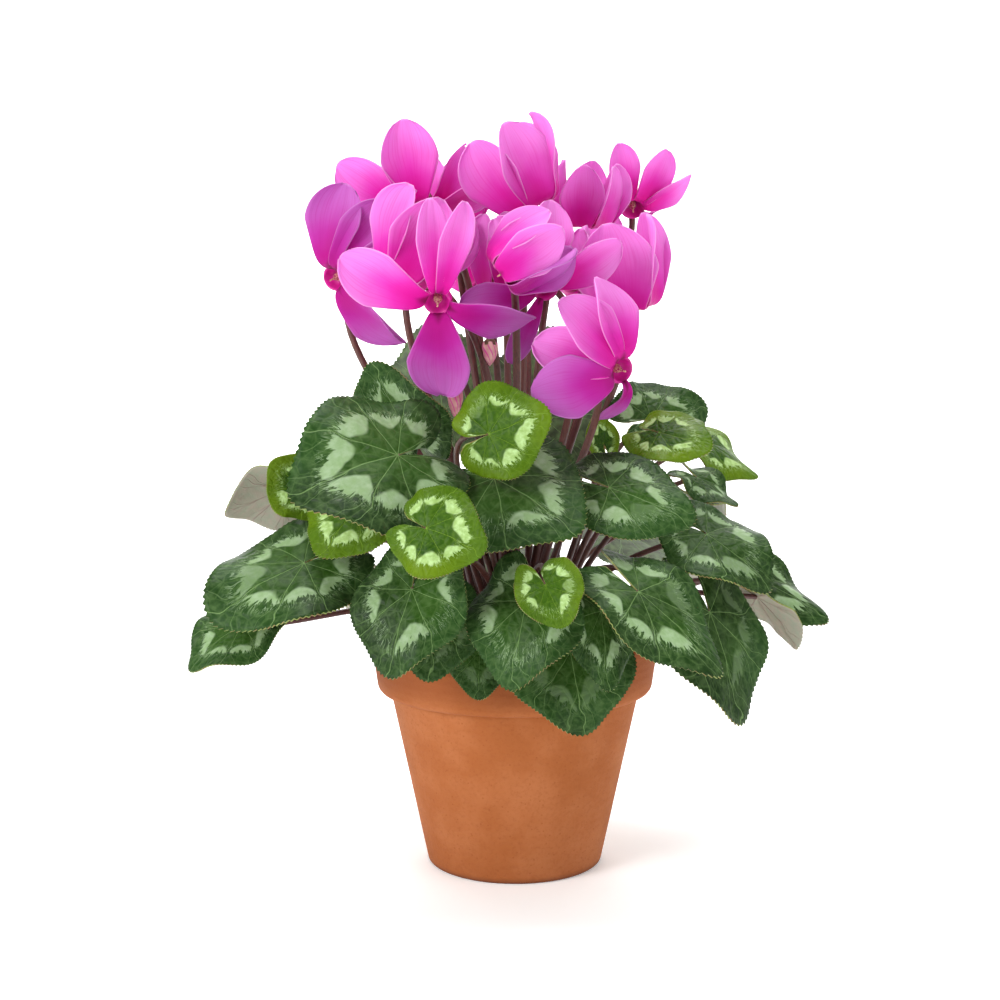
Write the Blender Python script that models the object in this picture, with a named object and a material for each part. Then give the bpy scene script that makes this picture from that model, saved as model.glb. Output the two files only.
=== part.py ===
"""A florist's cyclamen in a terracotta pot.

The pot is turned about +Z and stands on z = 0 with its axis through the origin. The tuber sits half
sunk in the soil and carries every leaf stalk and flower stalk. Each leaf blade and each bloom is a
solid of its own at the end of its stalk. -Y is the front. Tables are in millimetres and degrees.
"""
import math
from collections import namedtuple

import bmesh
import bpy
from mathutils import Matrix, Vector

MM = 0.001
GAP = 0.3  # between solids that touch on the real plant

# Pot and soil
POT_HEIGHT = 104
POT_BASE_RADIUS = 39.5
POT_BODY_RADIUS = 56.5
POT_RIM_RADIUS = 65.5
POT_EDGE = 1.5  # rounding of the pot's edges
COLLAR_HEIGHT = 25
COLLAR_STEP = 5.5  # how far the collar stands out at its lower edge
COLLAR_ROUND = 3.5
POT_WALL = 5.5
POT_FLOOR = 7
DRAIN_RADIUS = 7
TURNED_STEPS = 24  # sides of the pot and of the soil, whose facets face each other
SOIL_TOP = 92
SOIL_DOME = 2

# Tuber, seated in a hollow in the soil
TUBER_RADIUS = 21
TUBER_TOP = 100
TUBER_BOTTOM = 78
TUBER_STEPS = 12
TUBER_RINGS = 5

# Stalks
LEAF_STALK_RADIUS = 1.3
FLOWER_STALK_RADIUS = 1.25
LEAF_STALK_SEGMENTS = 3
FLOWER_STALK_SEGMENTS = 4
CROWN_RADIUS = 13  # the farthest from the axis that a stalk leaves the tuber
CROWN_SHARE = 0.25  # a stalk starts this share of its reach out from the axis
STALK_ROOT_DEPTH = 6
STALK_END_GAP = 0.9  # room for the slanted end of a stalk under a blade or over a calyx

# Leaf blades. Reaches are measured from the stalk, against the midrib's length.
BLADE_THICKNESS = 0.8
BLADE_RINGS = 2
BLADE_STEPS = 18
BLADE_REACH = 0.77  # to the sides
BLADE_FORWARD = 0.13  # added forward, taken off backward
BLADE_TIP = 0.1  # added at the tip
TIP_SPREAD = 0.3  # half the width of that point, in radians
BLADE_CORNERS = 0.03  # half of what is taken off between five blunt corners
NOTCH_ANGLE = 9  # half the notch at the stalk
LOBE_ANGLE = 148  # where the lobes beside the notch begin to round off
LOBE_ROUNDING = 0.4
WAVES_ROUND = 4
TOOTH_DEPTH = 0.03

# Blooms
PETAL_LENGTH = 46
PETAL_WIDTH = 28
PETAL_THICKNESS = 0.7
PETAL_ROWS = 4
PETAL_COLUMNS = 2
PETAL_WIDEST = 0.6  # place of a petal's widest part, against its length
PETAL_BASE = 0.22  # width of its base, against its width
MOUTH_LEAN = 140  # angle between the sweep and a petal where it leaves the mouth
FOLD_END = 0.28  # a petal has folded back to the bloom's opening here, against its length
TIP_CLOSING = 14  # degrees that it closes in again from there to its tip
PETAL_TWIST = 25  # degrees from its base to its tip
PETAL_CURL = 0.9  # radians that each half of its tip curls in
PETAL_TIP_DROP = 0.12  # how far its corners fall back, against half its width
PATH_STEPS = 24
THROAT_RADIUS = 6
THROAT_HEIGHT = 7
THROAT_LIP = 0.4  # how far the mouth stands out past the roots of the petals
THROAT_STEPS = 6
CALYX_HEIGHT = 9.5
CALYX_RADIUS = 2
HOOK_OFFSET = 9  # from the middle of the mouth to the stalk that passes beside it
HOOK_SEGMENTS = 2
BUD_RADIUS = 3.2

# A blade by its stalk end and its tip, the way its upper side looks (degrees round from the front,
# degrees up), its width against a plain leaf's, how far its midrib bends down, how far its halves fold
# down, the height of its waves, and whether it is a young, pale one.
Leaf = namedtuple("Leaf", "base tip face width bend fold wave young")

LEAVES = {
    "front": [
        Leaf((-11, -83, 200), (14, -87, 208), (0, 15), 1.0, 15, 5, 2, True),
        Leaf((-48, -78, 191), (-91, -96, 177), (-15, 25), 0.95, 25, 10, 3, False),
        Leaf((-9, -69, 181), (25, -91, 160), (0, 35), 0.9, 25, 15, 2, False),
        Leaf((-35, -108, 165), (-12, -114, 157), (-5, 20), 1.0, 20, 10, 2, True),
        Leaf((38, -68, 177), (72, -78, 163), (10, 35), 0.75, 20, 20, 2, False),
        Leaf((48, -94, 138), (78, -106, 106), (25, 35), 0.62, 25, 15, 3, False),
        Leaf((4, -86, 133), (-3, -98, 99), (-10, 30), 0.85, 25, 20, 4, False),
        Leaf((11, -102, 142), (19, -108, 126), (0, 25), 1.0, 20, -30, 2, True),
        Leaf((34, -80, 128), (36, -90, 97), (10, 15), 0.62, 20, 15, 3, False),
        Leaf((-42, -88, 138), (-51, -100, 104), (-15, 25), 0.85, 25, 15, 2, False),
        Leaf((-33, -69, 125), (-36, -77, 98), (-10, 15), 1.0, 15, 10, 1, False),
        Leaf((-15, -69, 110), (-16, -75, 90), (0, 10), 0.9, 10, 10, 1, False),
        Leaf((22, -74, 110), (27, -85, 77), (10, 10), 1.0, 10, 15, 1, False),
    ],
    "left": [
        Leaf((-47, -31, 199), (-60, -49, 228), (-30, 20), 0.8, 10, 10, 2, False),
        Leaf((-50, -12, 207), (-53, -20, 222), (-20, 10), 0.8, 0, 20, 1, False),
        Leaf((-66, -60, 168), (-80, -72, 148), (-25, 35), 1.1, 15, 10, 2, True),
        Leaf((-90, -42, 174), (-104, -48, 187), (-20, 20), 1.0, -20, -30, 2, True),
        Leaf((-101, -18, 171), (-128, -26, 163), (-130, 30), 0.9, 15, 10, 2, False),
        Leaf((-88, -62, 145), (-126, -80, 124), (-20, 45), 0.85, 20, 15, 4, False),
        Leaf((-114, -58, 119), (-137, -66, 101), (-30, 40), 0.8, 25, 20, 2, False),
    ],
    "right": [
        Leaf((38, -28, 193), (34, -32, 206), (0, 10), 0.7, 0, -40, 1, True),
        Leaf((61, -39, 198), (82, -51, 191), (20, 35), 0.9, 20, 10, 2, True),
        Leaf((61, -4, 202), (88, 12, 206), (15, 35), 0.9, 10, 10, 3, False),
        Leaf((89, 13, 190), (110, 13, 173), (50, 50), 1.0, 20, 10, 2, True),
        Leaf((80, -19, 177), (96, -25, 164), (40, 50), 0.8, 15, 10, 2, False),
        Leaf((80, -53, 156), (106, -67, 135), (25, 45), 0.85, 20, 15, 3, False),
        Leaf((107, -8, 132), (138.5, -14, 110), (30, 45), 0.65, 20, 15, 4, False),
        Leaf((104, -36, 127), (123, -42, 106), (150, 40), 0.5, 20, 15, 3, False),
        Leaf((80, -65, 125), (93, -74, 80), (30, 20), 0.7, 15, 20, 3, False),
    ],
    "back": [
        Leaf((-60, 40, 170), (-98, 62, 150), (-130, 40), 0.9, 20, 15, 3, False),
        Leaf((-34, 52, 202), (-40, 66, 246), (-5, 15), 0.95, 15, 10, 2, False),
        Leaf((14, 54, 200), (19, 70, 243), (5, 15), 0.95, 15, 10, 2, False),
        Leaf((66, 50, 168), (102, 72, 146), (130, 45), 0.9, 20, 15, 3, False),
        Leaf((-60, 68, 125), (-82, 96, 98), (-140, 35), 0.8, 20, 15, 2, False),
        Leaf((-3, 80, 128), (-1, 116, 98), (180, 35), 0.8, 20, 15, 2, False),
        Leaf((54, 72, 142), (78, 98, 114), (145, 35), 0.8, 20, 15, 2, False),
        Leaf((-95, 26, 135), (-132, 36, 110), (-110, 40), 0.9, 20, 15, 3, False),
        Leaf((96, 34, 126), (130, 46, 104), (110, 40), 0.85, 20, 15, 3, False),
    ],
}

# Where a stalk has to swing round a neighbouring blade, the place that its upper half bends towards.
STALK_BENDS = {
    "leaf_front_1": (-45, -44, 203),
    "leaf_front_4": (-12, -90, 146),
    "leaf_front_6": (48, -72, 157),
    "leaf_front_8": (12, -90, 158),
    "bloom_6": (10, 10, 260),
    "bloom_8": (2, -50, 246),
    "bloom_13": (42, -50, 202),
}

# A bloom by the middle of its mouth, the way its petals sweep (degrees round from the front, degrees
# up), where its stalk hooks in (degrees round the sweep), how far that side opens, its size, and its
# petals, each by its place round the sweep, how far it opens from it, and its width against a plain one.
Bloom = namedtuple("Bloom", "mouth sweep hook open size petals")


def ring(hook, gap, opened, broad):
    """Five like petals round a sweep, with a gap where the stalk hooks in."""
    return tuple((hook + gap / 2 + (360 - gap) / 4 * number, opened, broad) for number in range(5))


BLOOMS = [
    Bloom((-32, -68, 252), (180, 35), 50, 75, 0.87,
          ((88, 98, 1.2), (204, 80, 1.0), (266, 60, 0.6), (286, 66, 0.6), (20, 76, 0.9))),
    Bloom((-47, -38, 264), (90, 63), 180, 18, 0.9,
          ((235, 16, 0.9), (298, 16, 1.15), (0, 16, 1.15), (62, 16, 1.15), (125, 16, 0.9))),
    Bloom((-80, -12, 264), (145, 20), 110, 70, 0.85,
          ((280, 66, 1.15), (310, 60, 0.9), (345, 50, 0.8), (15, 50, 0.8), (55, 75, 1.1))),
    Bloom((-42, 4, 295), (180, 45), 50, 60, 0.85,
          ((206, 75, 1.1), (258, 55, 1.15), (330, 28, 1.0), (350, 60, 0.9), (110, 80, 0.9))),
    Bloom((-27, 34, 292), (0, 85), 90, 12, 0.75, ring(90, 110, 12, 1.0)),
    Bloom((9, -14, 296), (-90, 62), 75, 16, 0.92,
          ((130, 16, 1.15), (192, 16, 1.15), (255, 16, 1.0), (318, 16, 0.8), (20, 16, 0.8))),
    Bloom((-4, -23, 259), (180, 84), 90, 8, 0.8, ring(90, 110, 8, 0.9)),
    Bloom((-6, -68, 264), (90, 35), 180, 8, 0.75, ring(180, 110, 8, 1.0)),
    Bloom((12, -43, 259), (180, 20), 45, 78, 0.75,
          ((333, 74, 1.0), (275, 62, 1.0), (230, 60, 0.8), (163, 80, 0.9), (112, 85, 0.55))),
    Bloom((32, 16, 290), (20, 78), 0, 16, 0.7, ring(0, 110, 16, 1.1)),
    Bloom((55, 34, 298), (180, 40), 85, 60, 0.62,
          ((255, 55, 0.9), (303, 60, 1.1), (338, 66, 0.9), (30, 30, 0.8), (190, 25, 0.6))),
    Bloom((51, -16, 252), (-60, 76), 320, 14, 0.97,
          ((15, 16, 0.8), (72, 14, 0.9), (130, 12, 1.4), (205, 14, 1.0), (265, 12, 0.8))),
    Bloom((43, -66, 225), (-145, 12), 115, 65, 0.8,
          ((224, 70, 1.2), (258, 64, 1.2), (163, 74, 1.2), (192, 50, 1.0), (68, 45, 0.5))),
    Bloom((-14, 64, 264), (180, 60), 0, 35, 0.9, ring(0, 110, 35, 1.0)),
    Bloom((34, 60, 262), (150, 60), 0, 35, 0.9, ring(0, 110, 35, 1.0)),
]

# A bud by its tip, the way it hangs (degrees round from the front, degrees up) and its length.
Bud = namedtuple("Bud", "tip hang length")

BUDS = [
    Bud((-26, -38, 202), (0, -80), 16),
    Bud((-11, -50, 225), (0, -80), 12),
]


def polar_direction(turn, rise):
    """Unit vector at an angle round from the front and an angle up."""
    flat = math.cos(math.radians(rise))
    return Vector((
        math.sin(math.radians(turn)) * flat,
        -math.cos(math.radians(turn)) * flat,
        math.sin(math.radians(rise)),
    ))


def material(name, colour, roughness):
    """Principled material with one colour."""
    made = bpy.data.materials.new(name)
    made.use_nodes = True
    made.diffuse_color = (*colour, 1)
    shader = made.node_tree.nodes["Principled BSDF"]
    shader.inputs["Base Color"].default_value = (*colour, 1)
    shader.inputs["Roughness"].default_value = roughness
    shader.inputs["Metallic"].default_value = 0
    return made


def add_object(name, mesh, look, place=(0, 0, 0)):
    """Put a mesh into the scene under a name, with its material, at a place in millimetres."""
    made = bpy.data.objects.new(name, mesh)
    made.data.materials.append(look)
    made.location = Vector(place) * MM
    bpy.context.scene.collection.objects.link(made)
    return made


def to_mesh(name, bm):
    """Turn a bmesh measured in millimetres into a mesh in metres."""
    bmesh.ops.scale(bm, verts=bm.verts, vec=(MM, MM, MM))
    mesh = bpy.data.meshes.new(name)
    bm.to_mesh(mesh)
    bm.free()
    return mesh


def spun(profile, steps):
    """Spin an outline of (radius, z) points about +Z. It is a ring, or it starts and ends on the axis."""
    bm = bmesh.new()
    points = [bm.verts.new((radius, 0, z)) for radius, z in profile]
    after = points[1:] if profile[0][0] == 0 else points[1:] + points[:1]
    edges = [bm.edges.new(pair) for pair in zip(points, after)]
    bmesh.ops.spin(
        bm, geom=points + edges, cent=(0, 0, 0), axis=(0, 0, 1),
        angle=math.tau, steps=steps, use_merge=True,
    )
    bmesh.ops.remove_doubles(bm, verts=bm.verts, dist=1e-4)
    bmesh.ops.recalc_face_normals(bm, faces=bm.faces)
    return bm


def turned(name, profile, steps):
    """Smooth turned mesh with crisp corners."""
    mesh = to_mesh(name, spun(profile, steps))
    mesh.shade_smooth()
    mesh.set_sharp_from_angle(angle=math.radians(35))
    return mesh


def inner_radius(z):
    """Radius of the pot's inside at a height."""
    slope = (POT_BODY_RADIUS - POT_BASE_RADIUS) / (POT_HEIGHT - COLLAR_HEIGHT)
    return POT_BASE_RADIUS - POT_WALL + slope * z


def make_pot(look):
    """Flaring body with a thicker collar round its rim and a drain hole in its floor."""
    collar_bottom = POT_HEIGHT - COLLAR_HEIGHT
    collar_radius = POT_BODY_RADIUS + COLLAR_STEP
    profile = [
        (DRAIN_RADIUS, 0),
        (POT_BASE_RADIUS - POT_EDGE, 0),
        (POT_BASE_RADIUS, POT_EDGE),
        (POT_BODY_RADIUS, collar_bottom),
        (collar_radius - COLLAR_ROUND * 0.3, collar_bottom + COLLAR_ROUND * 0.3),
        (collar_radius, collar_bottom + COLLAR_ROUND),
        (POT_RIM_RADIUS, POT_HEIGHT - POT_EDGE),
        (POT_RIM_RADIUS - POT_EDGE, POT_HEIGHT),
        (inner_radius(POT_HEIGHT) + POT_EDGE, POT_HEIGHT),
        (inner_radius(POT_HEIGHT), POT_HEIGHT - POT_EDGE),
        (inner_radius(POT_FLOOR), POT_FLOOR),
        (DRAIN_RADIUS, POT_FLOOR),
    ]
    return add_object("pot", turned("pot", profile, TURNED_STEPS), look)


def tuber_outline(grow):
    """Right half of the tuber from its bottom to its top, made larger by a clearance."""
    middle = (TUBER_TOP + TUBER_BOTTOM) / 2
    half = (TUBER_TOP - TUBER_BOTTOM) / 2 + grow
    points = [(0, middle - half)]
    for ring in range(1, TUBER_RINGS):
        angle = math.pi * (ring / TUBER_RINGS - 0.5)
        points.append(((TUBER_RADIUS + grow) * math.cos(angle), middle + half * math.sin(angle)))
    return points + [(0, middle + half)]


def make_soil(look):
    """Soil that fills the pot to below its rim, low at the wall, with a round hollow for the tuber."""
    hollow = [point for point in tuber_outline(GAP) if point[1] < SOIL_TOP]
    shoulder = SOIL_TOP - SOIL_DOME
    edge = inner_radius(shoulder) - GAP
    base = POT_FLOOR + GAP
    middle = (edge + TUBER_RADIUS) / 2
    profile = [(0, base), (inner_radius(base) - GAP, base), (edge, shoulder)]
    profile += [(middle, SOIL_TOP - SOIL_DOME / 4), (TUBER_RADIUS + SOIL_DOME, SOIL_TOP)]
    profile += reversed(hollow)
    return add_object("soil", turned("soil", profile, TURNED_STEPS), look)


def bezier(points, fraction):
    """Point of a cubic curve through four control points."""
    rest = 1 - fraction
    weights = (rest**3, 3 * rest**2 * fraction, 3 * rest * fraction**2, fraction**3)
    return sum((weight * point for weight, point in zip(weights, points)), Vector())


def tube(name, points, radius):
    """Four-sided tube through points in millimetres."""
    curve = bpy.data.curves.new(name, "CURVE")
    curve.dimensions = "3D"
    curve.bevel_depth = radius * MM
    curve.bevel_resolution = 0
    curve.use_fill_caps = True
    spline = curve.splines.new("POLY")
    spline.points.add(len(points) - 1)
    for target, point in zip(spline.points, points):
        target.co = (*(point * MM), 1)
    guide = bpy.data.objects.new(name, curve)
    bpy.context.scene.collection.objects.link(guide)
    ready = guide.evaluated_get(bpy.context.evaluated_depsgraph_get())
    mesh = bpy.data.meshes.new_from_object(ready)
    bpy.data.objects.remove(guide)
    bpy.data.curves.remove(curve)
    bm = bmesh.new()
    bm.from_mesh(mesh)
    bmesh.ops.remove_doubles(bm, verts=bm.verts, dist=1e-6)
    bmesh.ops.recalc_face_normals(bm, faces=bm.faces)
    bm.to_mesh(mesh)
    bm.free()
    return bpy.data.objects.new(name, mesh)


def join_solids(body, pieces):
    """Fuse overlapping solids into one body with a Boolean union that is then applied."""
    group = bpy.data.collections.new("joined")
    bpy.context.scene.collection.children.link(group)
    for piece in pieces:
        group.objects.link(piece)
    union = body.modifiers.new("joined", "BOOLEAN")
    union.operation = "UNION"
    union.operand_type = "COLLECTION"
    union.solver = "MANIFOLD"
    union.collection = group
    ready = body.evaluated_get(bpy.context.evaluated_depsgraph_get())
    mesh = bpy.data.meshes.new_from_object(ready)
    body.modifiers.clear()
    body.data = mesh
    for piece in pieces:
        bpy.data.objects.remove(piece)
    bpy.data.collections.remove(group)
    return body


def arc_length(chord, turn):
    """Length of an arc over a chord that turns by an angle in all."""
    return chord if turn == 0 else chord * (turn / 2) / math.sin(turn / 2)


def arc(distance, bend):
    """Along and down for a distance on an arc that turns by bend for each unit."""
    if bend == 0:
        return distance, 0.0
    return math.sin(bend * distance) / bend, (math.cos(bend * distance) - 1) / bend


def blade_axes(leaf):
    """Midrib direction, leftward direction and upper side of a blade."""
    along = (Vector(leaf.tip) - Vector(leaf.base)).normalized()
    looks = polar_direction(*leaf.face)
    upper = (looks - along * looks.dot(along)).normalized()
    return along, upper.cross(along), upper


def outline_reach(turn):
    """Reach of a heart-shaped blade at an angle from its midrib, in midribs."""
    reach = BLADE_REACH + BLADE_FORWARD * math.cos(turn)
    reach += BLADE_TIP * math.exp(-((turn / TIP_SPREAD) ** 2)) - BLADE_CORNERS * (1 - math.cos(5 * turn))
    lobe = max(0.0, (abs(math.degrees(turn)) - LOBE_ANGLE) / (180 - NOTCH_ANGLE - LOBE_ANGLE))
    return reach * (1 - LOBE_ROUNDING * lobe**2)


def blade_point(leaf, fraction, turn, tooth):
    """Place on a blade's middle surface, from its stalk end, by the fraction of its reach at an angle."""
    along, left, upper = blade_axes(leaf)
    curve = math.radians(leaf.bend)
    length = arc_length((Vector(leaf.tip) - Vector(leaf.base)).length, curve)
    reach = outline_reach(turn) * length * (1 + tooth) * fraction
    half_width = BLADE_REACH * length
    side, sag = arc(reach * math.sin(turn) * leaf.width, math.radians(leaf.fold) / half_width)
    lift = sag + leaf.wave * fraction**2 * math.sin(WAVES_ROUND * turn + length)
    distance = reach * math.cos(turn)
    ahead, drop = arc(distance, curve / length)
    lean = curve * distance / length
    spot = Vector((ahead + lift * math.sin(lean), side, drop + lift * math.cos(lean)))
    spot.rotate(Matrix.Rotation(-curve / 2, 3, "Y"))
    return along * spot.x + left * spot.y + upper * spot.z


def thin_solid(name, bm, thickness, look, place):
    """Triangulated sheet at a place, given its thickness, half to each side."""
    bmesh.ops.remove_doubles(bm, verts=bm.verts, dist=1e-4)
    bmesh.ops.triangulate(bm, faces=bm.faces)
    sheet = add_object(name, to_mesh(name, bm), look, place)
    solid = sheet.modifiers.new("thickness", "SOLIDIFY")
    solid.thickness = thickness * MM
    solid.offset = 0
    return sheet


def make_blade(name, leaf, look):
    """Toothed heart-shaped blade, bent, folded and waved."""
    bm = bmesh.new()
    bmesh.ops.create_grid(bm, x_segments=BLADE_RINGS, y_segments=BLADE_STEPS, size=1)
    for vert in bm.verts:
        fraction = (vert.co.x + 1) / 2
        turn = vert.co.y * math.radians(180 - NOTCH_ANGLE)
        step = round((vert.co.y + 1) / 2 * BLADE_STEPS)
        tooth = TOOTH_DEPTH * (-1) ** step if fraction > 0.99 else 0
        vert.co = blade_point(leaf, fraction, turn, tooth)
    return thin_solid(name, bm, BLADE_THICKNESS, look, leaf.base)


def crown_point(towards):
    """Start of a stalk, inside the tuber's shoulder on the side that the stalk goes to."""
    flat = Vector((towards.x, towards.y, 0))
    flat = flat.normalized() * min(CROWN_RADIUS, flat.length * CROWN_SHARE)
    return Vector((flat.x, flat.y, TUBER_TOP - STALK_ROOT_DEPTH))


def curve_points(controls, segments):
    """Points along a cubic curve, both ends among them."""
    return [bezier(controls, step / segments) for step in range(segments + 1)]


def leaf_stalk_points(leaf, bend):
    """Arching way from the tuber to the underside of a blade, through the pull of a bend if it has one."""
    along, _, upper = blade_axes(leaf)
    arrive = (upper * 0.8 + along * 0.6).normalized()
    end = Vector(leaf.base) - arrive * (BLADE_THICKNESS / 2 + STALK_END_GAP + LEAF_STALK_RADIUS)
    start = crown_point(end)
    reach = (end - start).length
    rise = Vector((start.x, start.y, 0)).normalized() * 0.35 + Vector((0, 0, 1))
    before = Vector(bend) if bend else end - arrive * reach * 0.3
    return curve_points((start, start + rise * reach * 0.4, before, end), LEAF_STALK_SEGMENTS)


def round_sweep(bloom, turn):
    """Direction square to a bloom's sweep, at an angle round it."""
    sweep = polar_direction(*bloom.sweep)
    side = sweep.cross(Vector((0, 0, 1))).normalized()
    return Matrix.Rotation(math.radians(turn), 3, sweep) @ side


def bloom_frame(bloom):
    """Sweep of the petals, the side that the hook comes in by, and the direction across both."""
    sweep, side = polar_direction(*bloom.sweep), round_sweep(bloom, bloom.hook)
    return sweep, side, sweep.cross(side)


def petal_width(fraction):
    """Width of a petal at a fraction of its length, in widths."""
    width = PETAL_BASE + (1 - PETAL_BASE) * min(1.0, fraction / PETAL_WIDEST) ** 0.9
    past = max(0.0, (fraction - PETAL_WIDEST) / (1 - PETAL_WIDEST))
    return width * math.sqrt(1 - 0.9 * past**2)


def petal_lean(opened, fraction):
    """Angle between a petal and the sweep: it leaves the mouth outward, then folds back."""
    folding = max(0.0, 1 - fraction / FOLD_END)
    return math.radians(opened + (MOUTH_LEAN - opened) * folding**2 - TIP_CLOSING * fraction)


def petal_point(bloom, petal, fraction, across):
    """Place on a petal's middle surface, from the middle of the mouth."""
    turn, opened, broad = petal
    sweep, outward = polar_direction(*bloom.sweep), round_sweep(bloom, turn)
    step_length = PETAL_LENGTH * bloom.size * fraction / PATH_STEPS
    spot = outward * THROAT_RADIUS * 0.8
    for step in range(PATH_STEPS):
        lean = petal_lean(opened, fraction * (step + 0.5) / PATH_STEPS)
        spot += (sweep * math.cos(lean) + outward * math.sin(lean)) * step_length
    lean = petal_lean(opened, fraction)
    ahead = sweep * math.cos(lean) + outward * math.sin(lean)
    twist = Matrix.Rotation(math.radians(PETAL_TWIST * fraction), 3, ahead)
    aside = twist @ sweep.cross(outward)
    half_width = PETAL_WIDTH * bloom.size * broad * petal_width(fraction) / 2
    side, sag = arc(across * half_width, PETAL_CURL * fraction / half_width)
    return spot + aside * side - aside.cross(ahead) * sag - ahead * across**2 * half_width * PETAL_TIP_DROP


def make_petal(bloom, petal, look):
    """One petal as a thin closed solid."""
    bm = bmesh.new()
    bmesh.ops.create_grid(bm, x_segments=PETAL_ROWS, y_segments=PETAL_COLUMNS, size=1)
    for vert in bm.verts:
        fraction = ((vert.co.x + 1) / 2) ** 1.3
        vert.co = petal_point(bloom, petal, fraction, vert.co.y)
    return thin_solid("petal", bm, PETAL_THICKNESS, look, bloom.mouth)


def make_throat(name, bloom, look):
    """Short tube of a bloom with its calyx, closed at both ends."""
    sweep, side, across = bloom_frame(bloom)
    profile = [
        (0, -THROAT_LIP),
        (THROAT_RADIUS * 0.95, -THROAT_LIP),
        (THROAT_RADIUS, THROAT_HEIGHT / 2),
        (THROAT_RADIUS * 0.65, THROAT_HEIGHT),
        (CALYX_RADIUS, CALYX_HEIGHT),
        (0, CALYX_HEIGHT),
    ]
    bm = spun(profile, THROAT_STEPS)
    bmesh.ops.rotate(bm, matrix=Matrix((side, across, sweep)).transposed(), verts=bm.verts)
    return add_object(name, to_mesh(name, bm), look, bloom.mouth)


def make_bloom(name, bloom, look):
    """Throat and five swept petals fused into one body."""
    throat = make_throat(name, bloom, look)
    return join_solids(throat, [make_petal(bloom, petal, look) for petal in bloom.petals])


def flower_stalk_points(bloom, bend):
    """Way from the tuber up beside a bloom's mouth and over in a hook down to its calyx."""
    sweep, side, _ = bloom_frame(bloom)
    opened = math.radians(bloom.open)
    mouth = Vector(bloom.mouth)
    beside = mouth + side * HOOK_OFFSET + sweep * (4 + 8 * math.sin(opened))
    heading = sweep * math.cos(opened) - side * math.sin(opened)
    calyx = mouth + sweep * (CALYX_HEIGHT + STALK_END_GAP)
    start = crown_point(beside)
    reach = (beside - start).length
    before = Vector(bend) if bend else beside - heading * reach * 0.22
    rising = (start, start + Vector((0, 0, 0.45 * reach)), before, beside)
    hook = HOOK_OFFSET * 0.9
    hooked = (beside, beside + heading * hook, calyx + sweep * hook, calyx)
    return curve_points(rising, FLOWER_STALK_SEGMENTS)[:-1] + curve_points(hooked, HOOK_SEGMENTS)


def bud_stalk_points(bud):
    """Way from the tuber up and over in a small hook to a nodding bud."""
    hang = polar_direction(*bud.hang)
    top = Vector(bud.tip) - hang * (bud.length + STALK_END_GAP * 1.5)
    start = crown_point(top)
    reach = (top - start).length
    controls = (start, start + Vector((0, 0, 0.6 * reach)), top - hang * 0.2 * reach, top)
    return curve_points(controls, FLOWER_STALK_SEGMENTS)


def make_bud(name, bud, look):
    """Closed bud that hangs from its stalk and comes to a point."""
    hang = polar_direction(*bud.hang)
    profile = [
        (0, 0),
        (BUD_RADIUS * 0.7, 0),
        (BUD_RADIUS, bud.length * 0.3),
        (BUD_RADIUS * 0.8, bud.length * 0.65),
        (0, bud.length),
    ]
    bm = spun(profile, THROAT_STEPS)
    turn = hang.to_track_quat("Z", "Y").to_matrix()
    bmesh.ops.rotate(bm, matrix=turn, verts=bm.verts)
    return add_object(name, to_mesh(name, bm), look, Vector(bud.tip) - hang * bud.length)


def make_crown(look):
    """Tuber with every leaf stalk and flower stalk that grows from it."""
    tuber = add_object("tuber_and_stalks", turned("tuber", tuber_outline(0), TUBER_STEPS), look)
    stalks = []
    for group, leaves in LEAVES.items():
        for number, leaf in enumerate(leaves, 1):
            points = leaf_stalk_points(leaf, STALK_BENDS.get(f"leaf_{group}_{number}"))
            stalks.append(tube("stalk", points, LEAF_STALK_RADIUS))
    for number, bloom in enumerate(BLOOMS, 1):
        points = flower_stalk_points(bloom, STALK_BENDS.get(f"bloom_{number}"))
        stalks.append(tube("stalk", points, FLOWER_STALK_RADIUS))
    stalks += [tube("stalk", bud_stalk_points(bud), FLOWER_STALK_RADIUS) for bud in BUDS]
    return join_solids(tuber, stalks)


def clear_scene():
    """Remove whatever the file opened with."""
    for old in list(bpy.data.objects):
        bpy.data.objects.remove(old)


def main():
    clear_scene()
    terracotta = material("terracotta", (0.52, 0.19, 0.085), 0.85)
    soil = material("potting soil", (0.03, 0.02, 0.015), 0.95)
    stalk = material("stalk", (0.12, 0.05, 0.035), 0.5)
    leaf_green = material("leaf", (0.04, 0.12, 0.04), 0.45)
    young_green = material("young leaf", (0.13, 0.22, 0.02), 0.45)
    petal_pink = material("petal", (0.75, 0.05, 0.55), 0.5)
    bud_pink = material("bud", (0.7, 0.35, 0.35), 0.5)
    make_pot(terracotta)
    make_soil(soil)
    make_crown(stalk)
    for group, leaves in LEAVES.items():
        for number, leaf in enumerate(leaves, 1):
            make_blade(f"leaf_{group}_{number}", leaf, young_green if leaf.young else leaf_green)
    for number, bloom in enumerate(BLOOMS, 1):
        make_bloom(f"bloom_{number}", bloom, petal_pink)
    for number, bud in enumerate(BUDS, 1):
        make_bud(f"bud_{number}", bud, bud_pink)


main()
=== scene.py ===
"""Cyclamen in a terracotta pot: the finished plant, dressed over its CAD model.

Each piece stands for one node of the CAD model and is made from the same named sizes. The pot is turned
about +Z and stands on z = 0. -Y is the front. Tables are in millimetres and degrees.
"""
import math
import random
from collections import namedtuple
from functools import partial

import bmesh
import bpy
from mathutils import Matrix, Vector, noise


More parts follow.
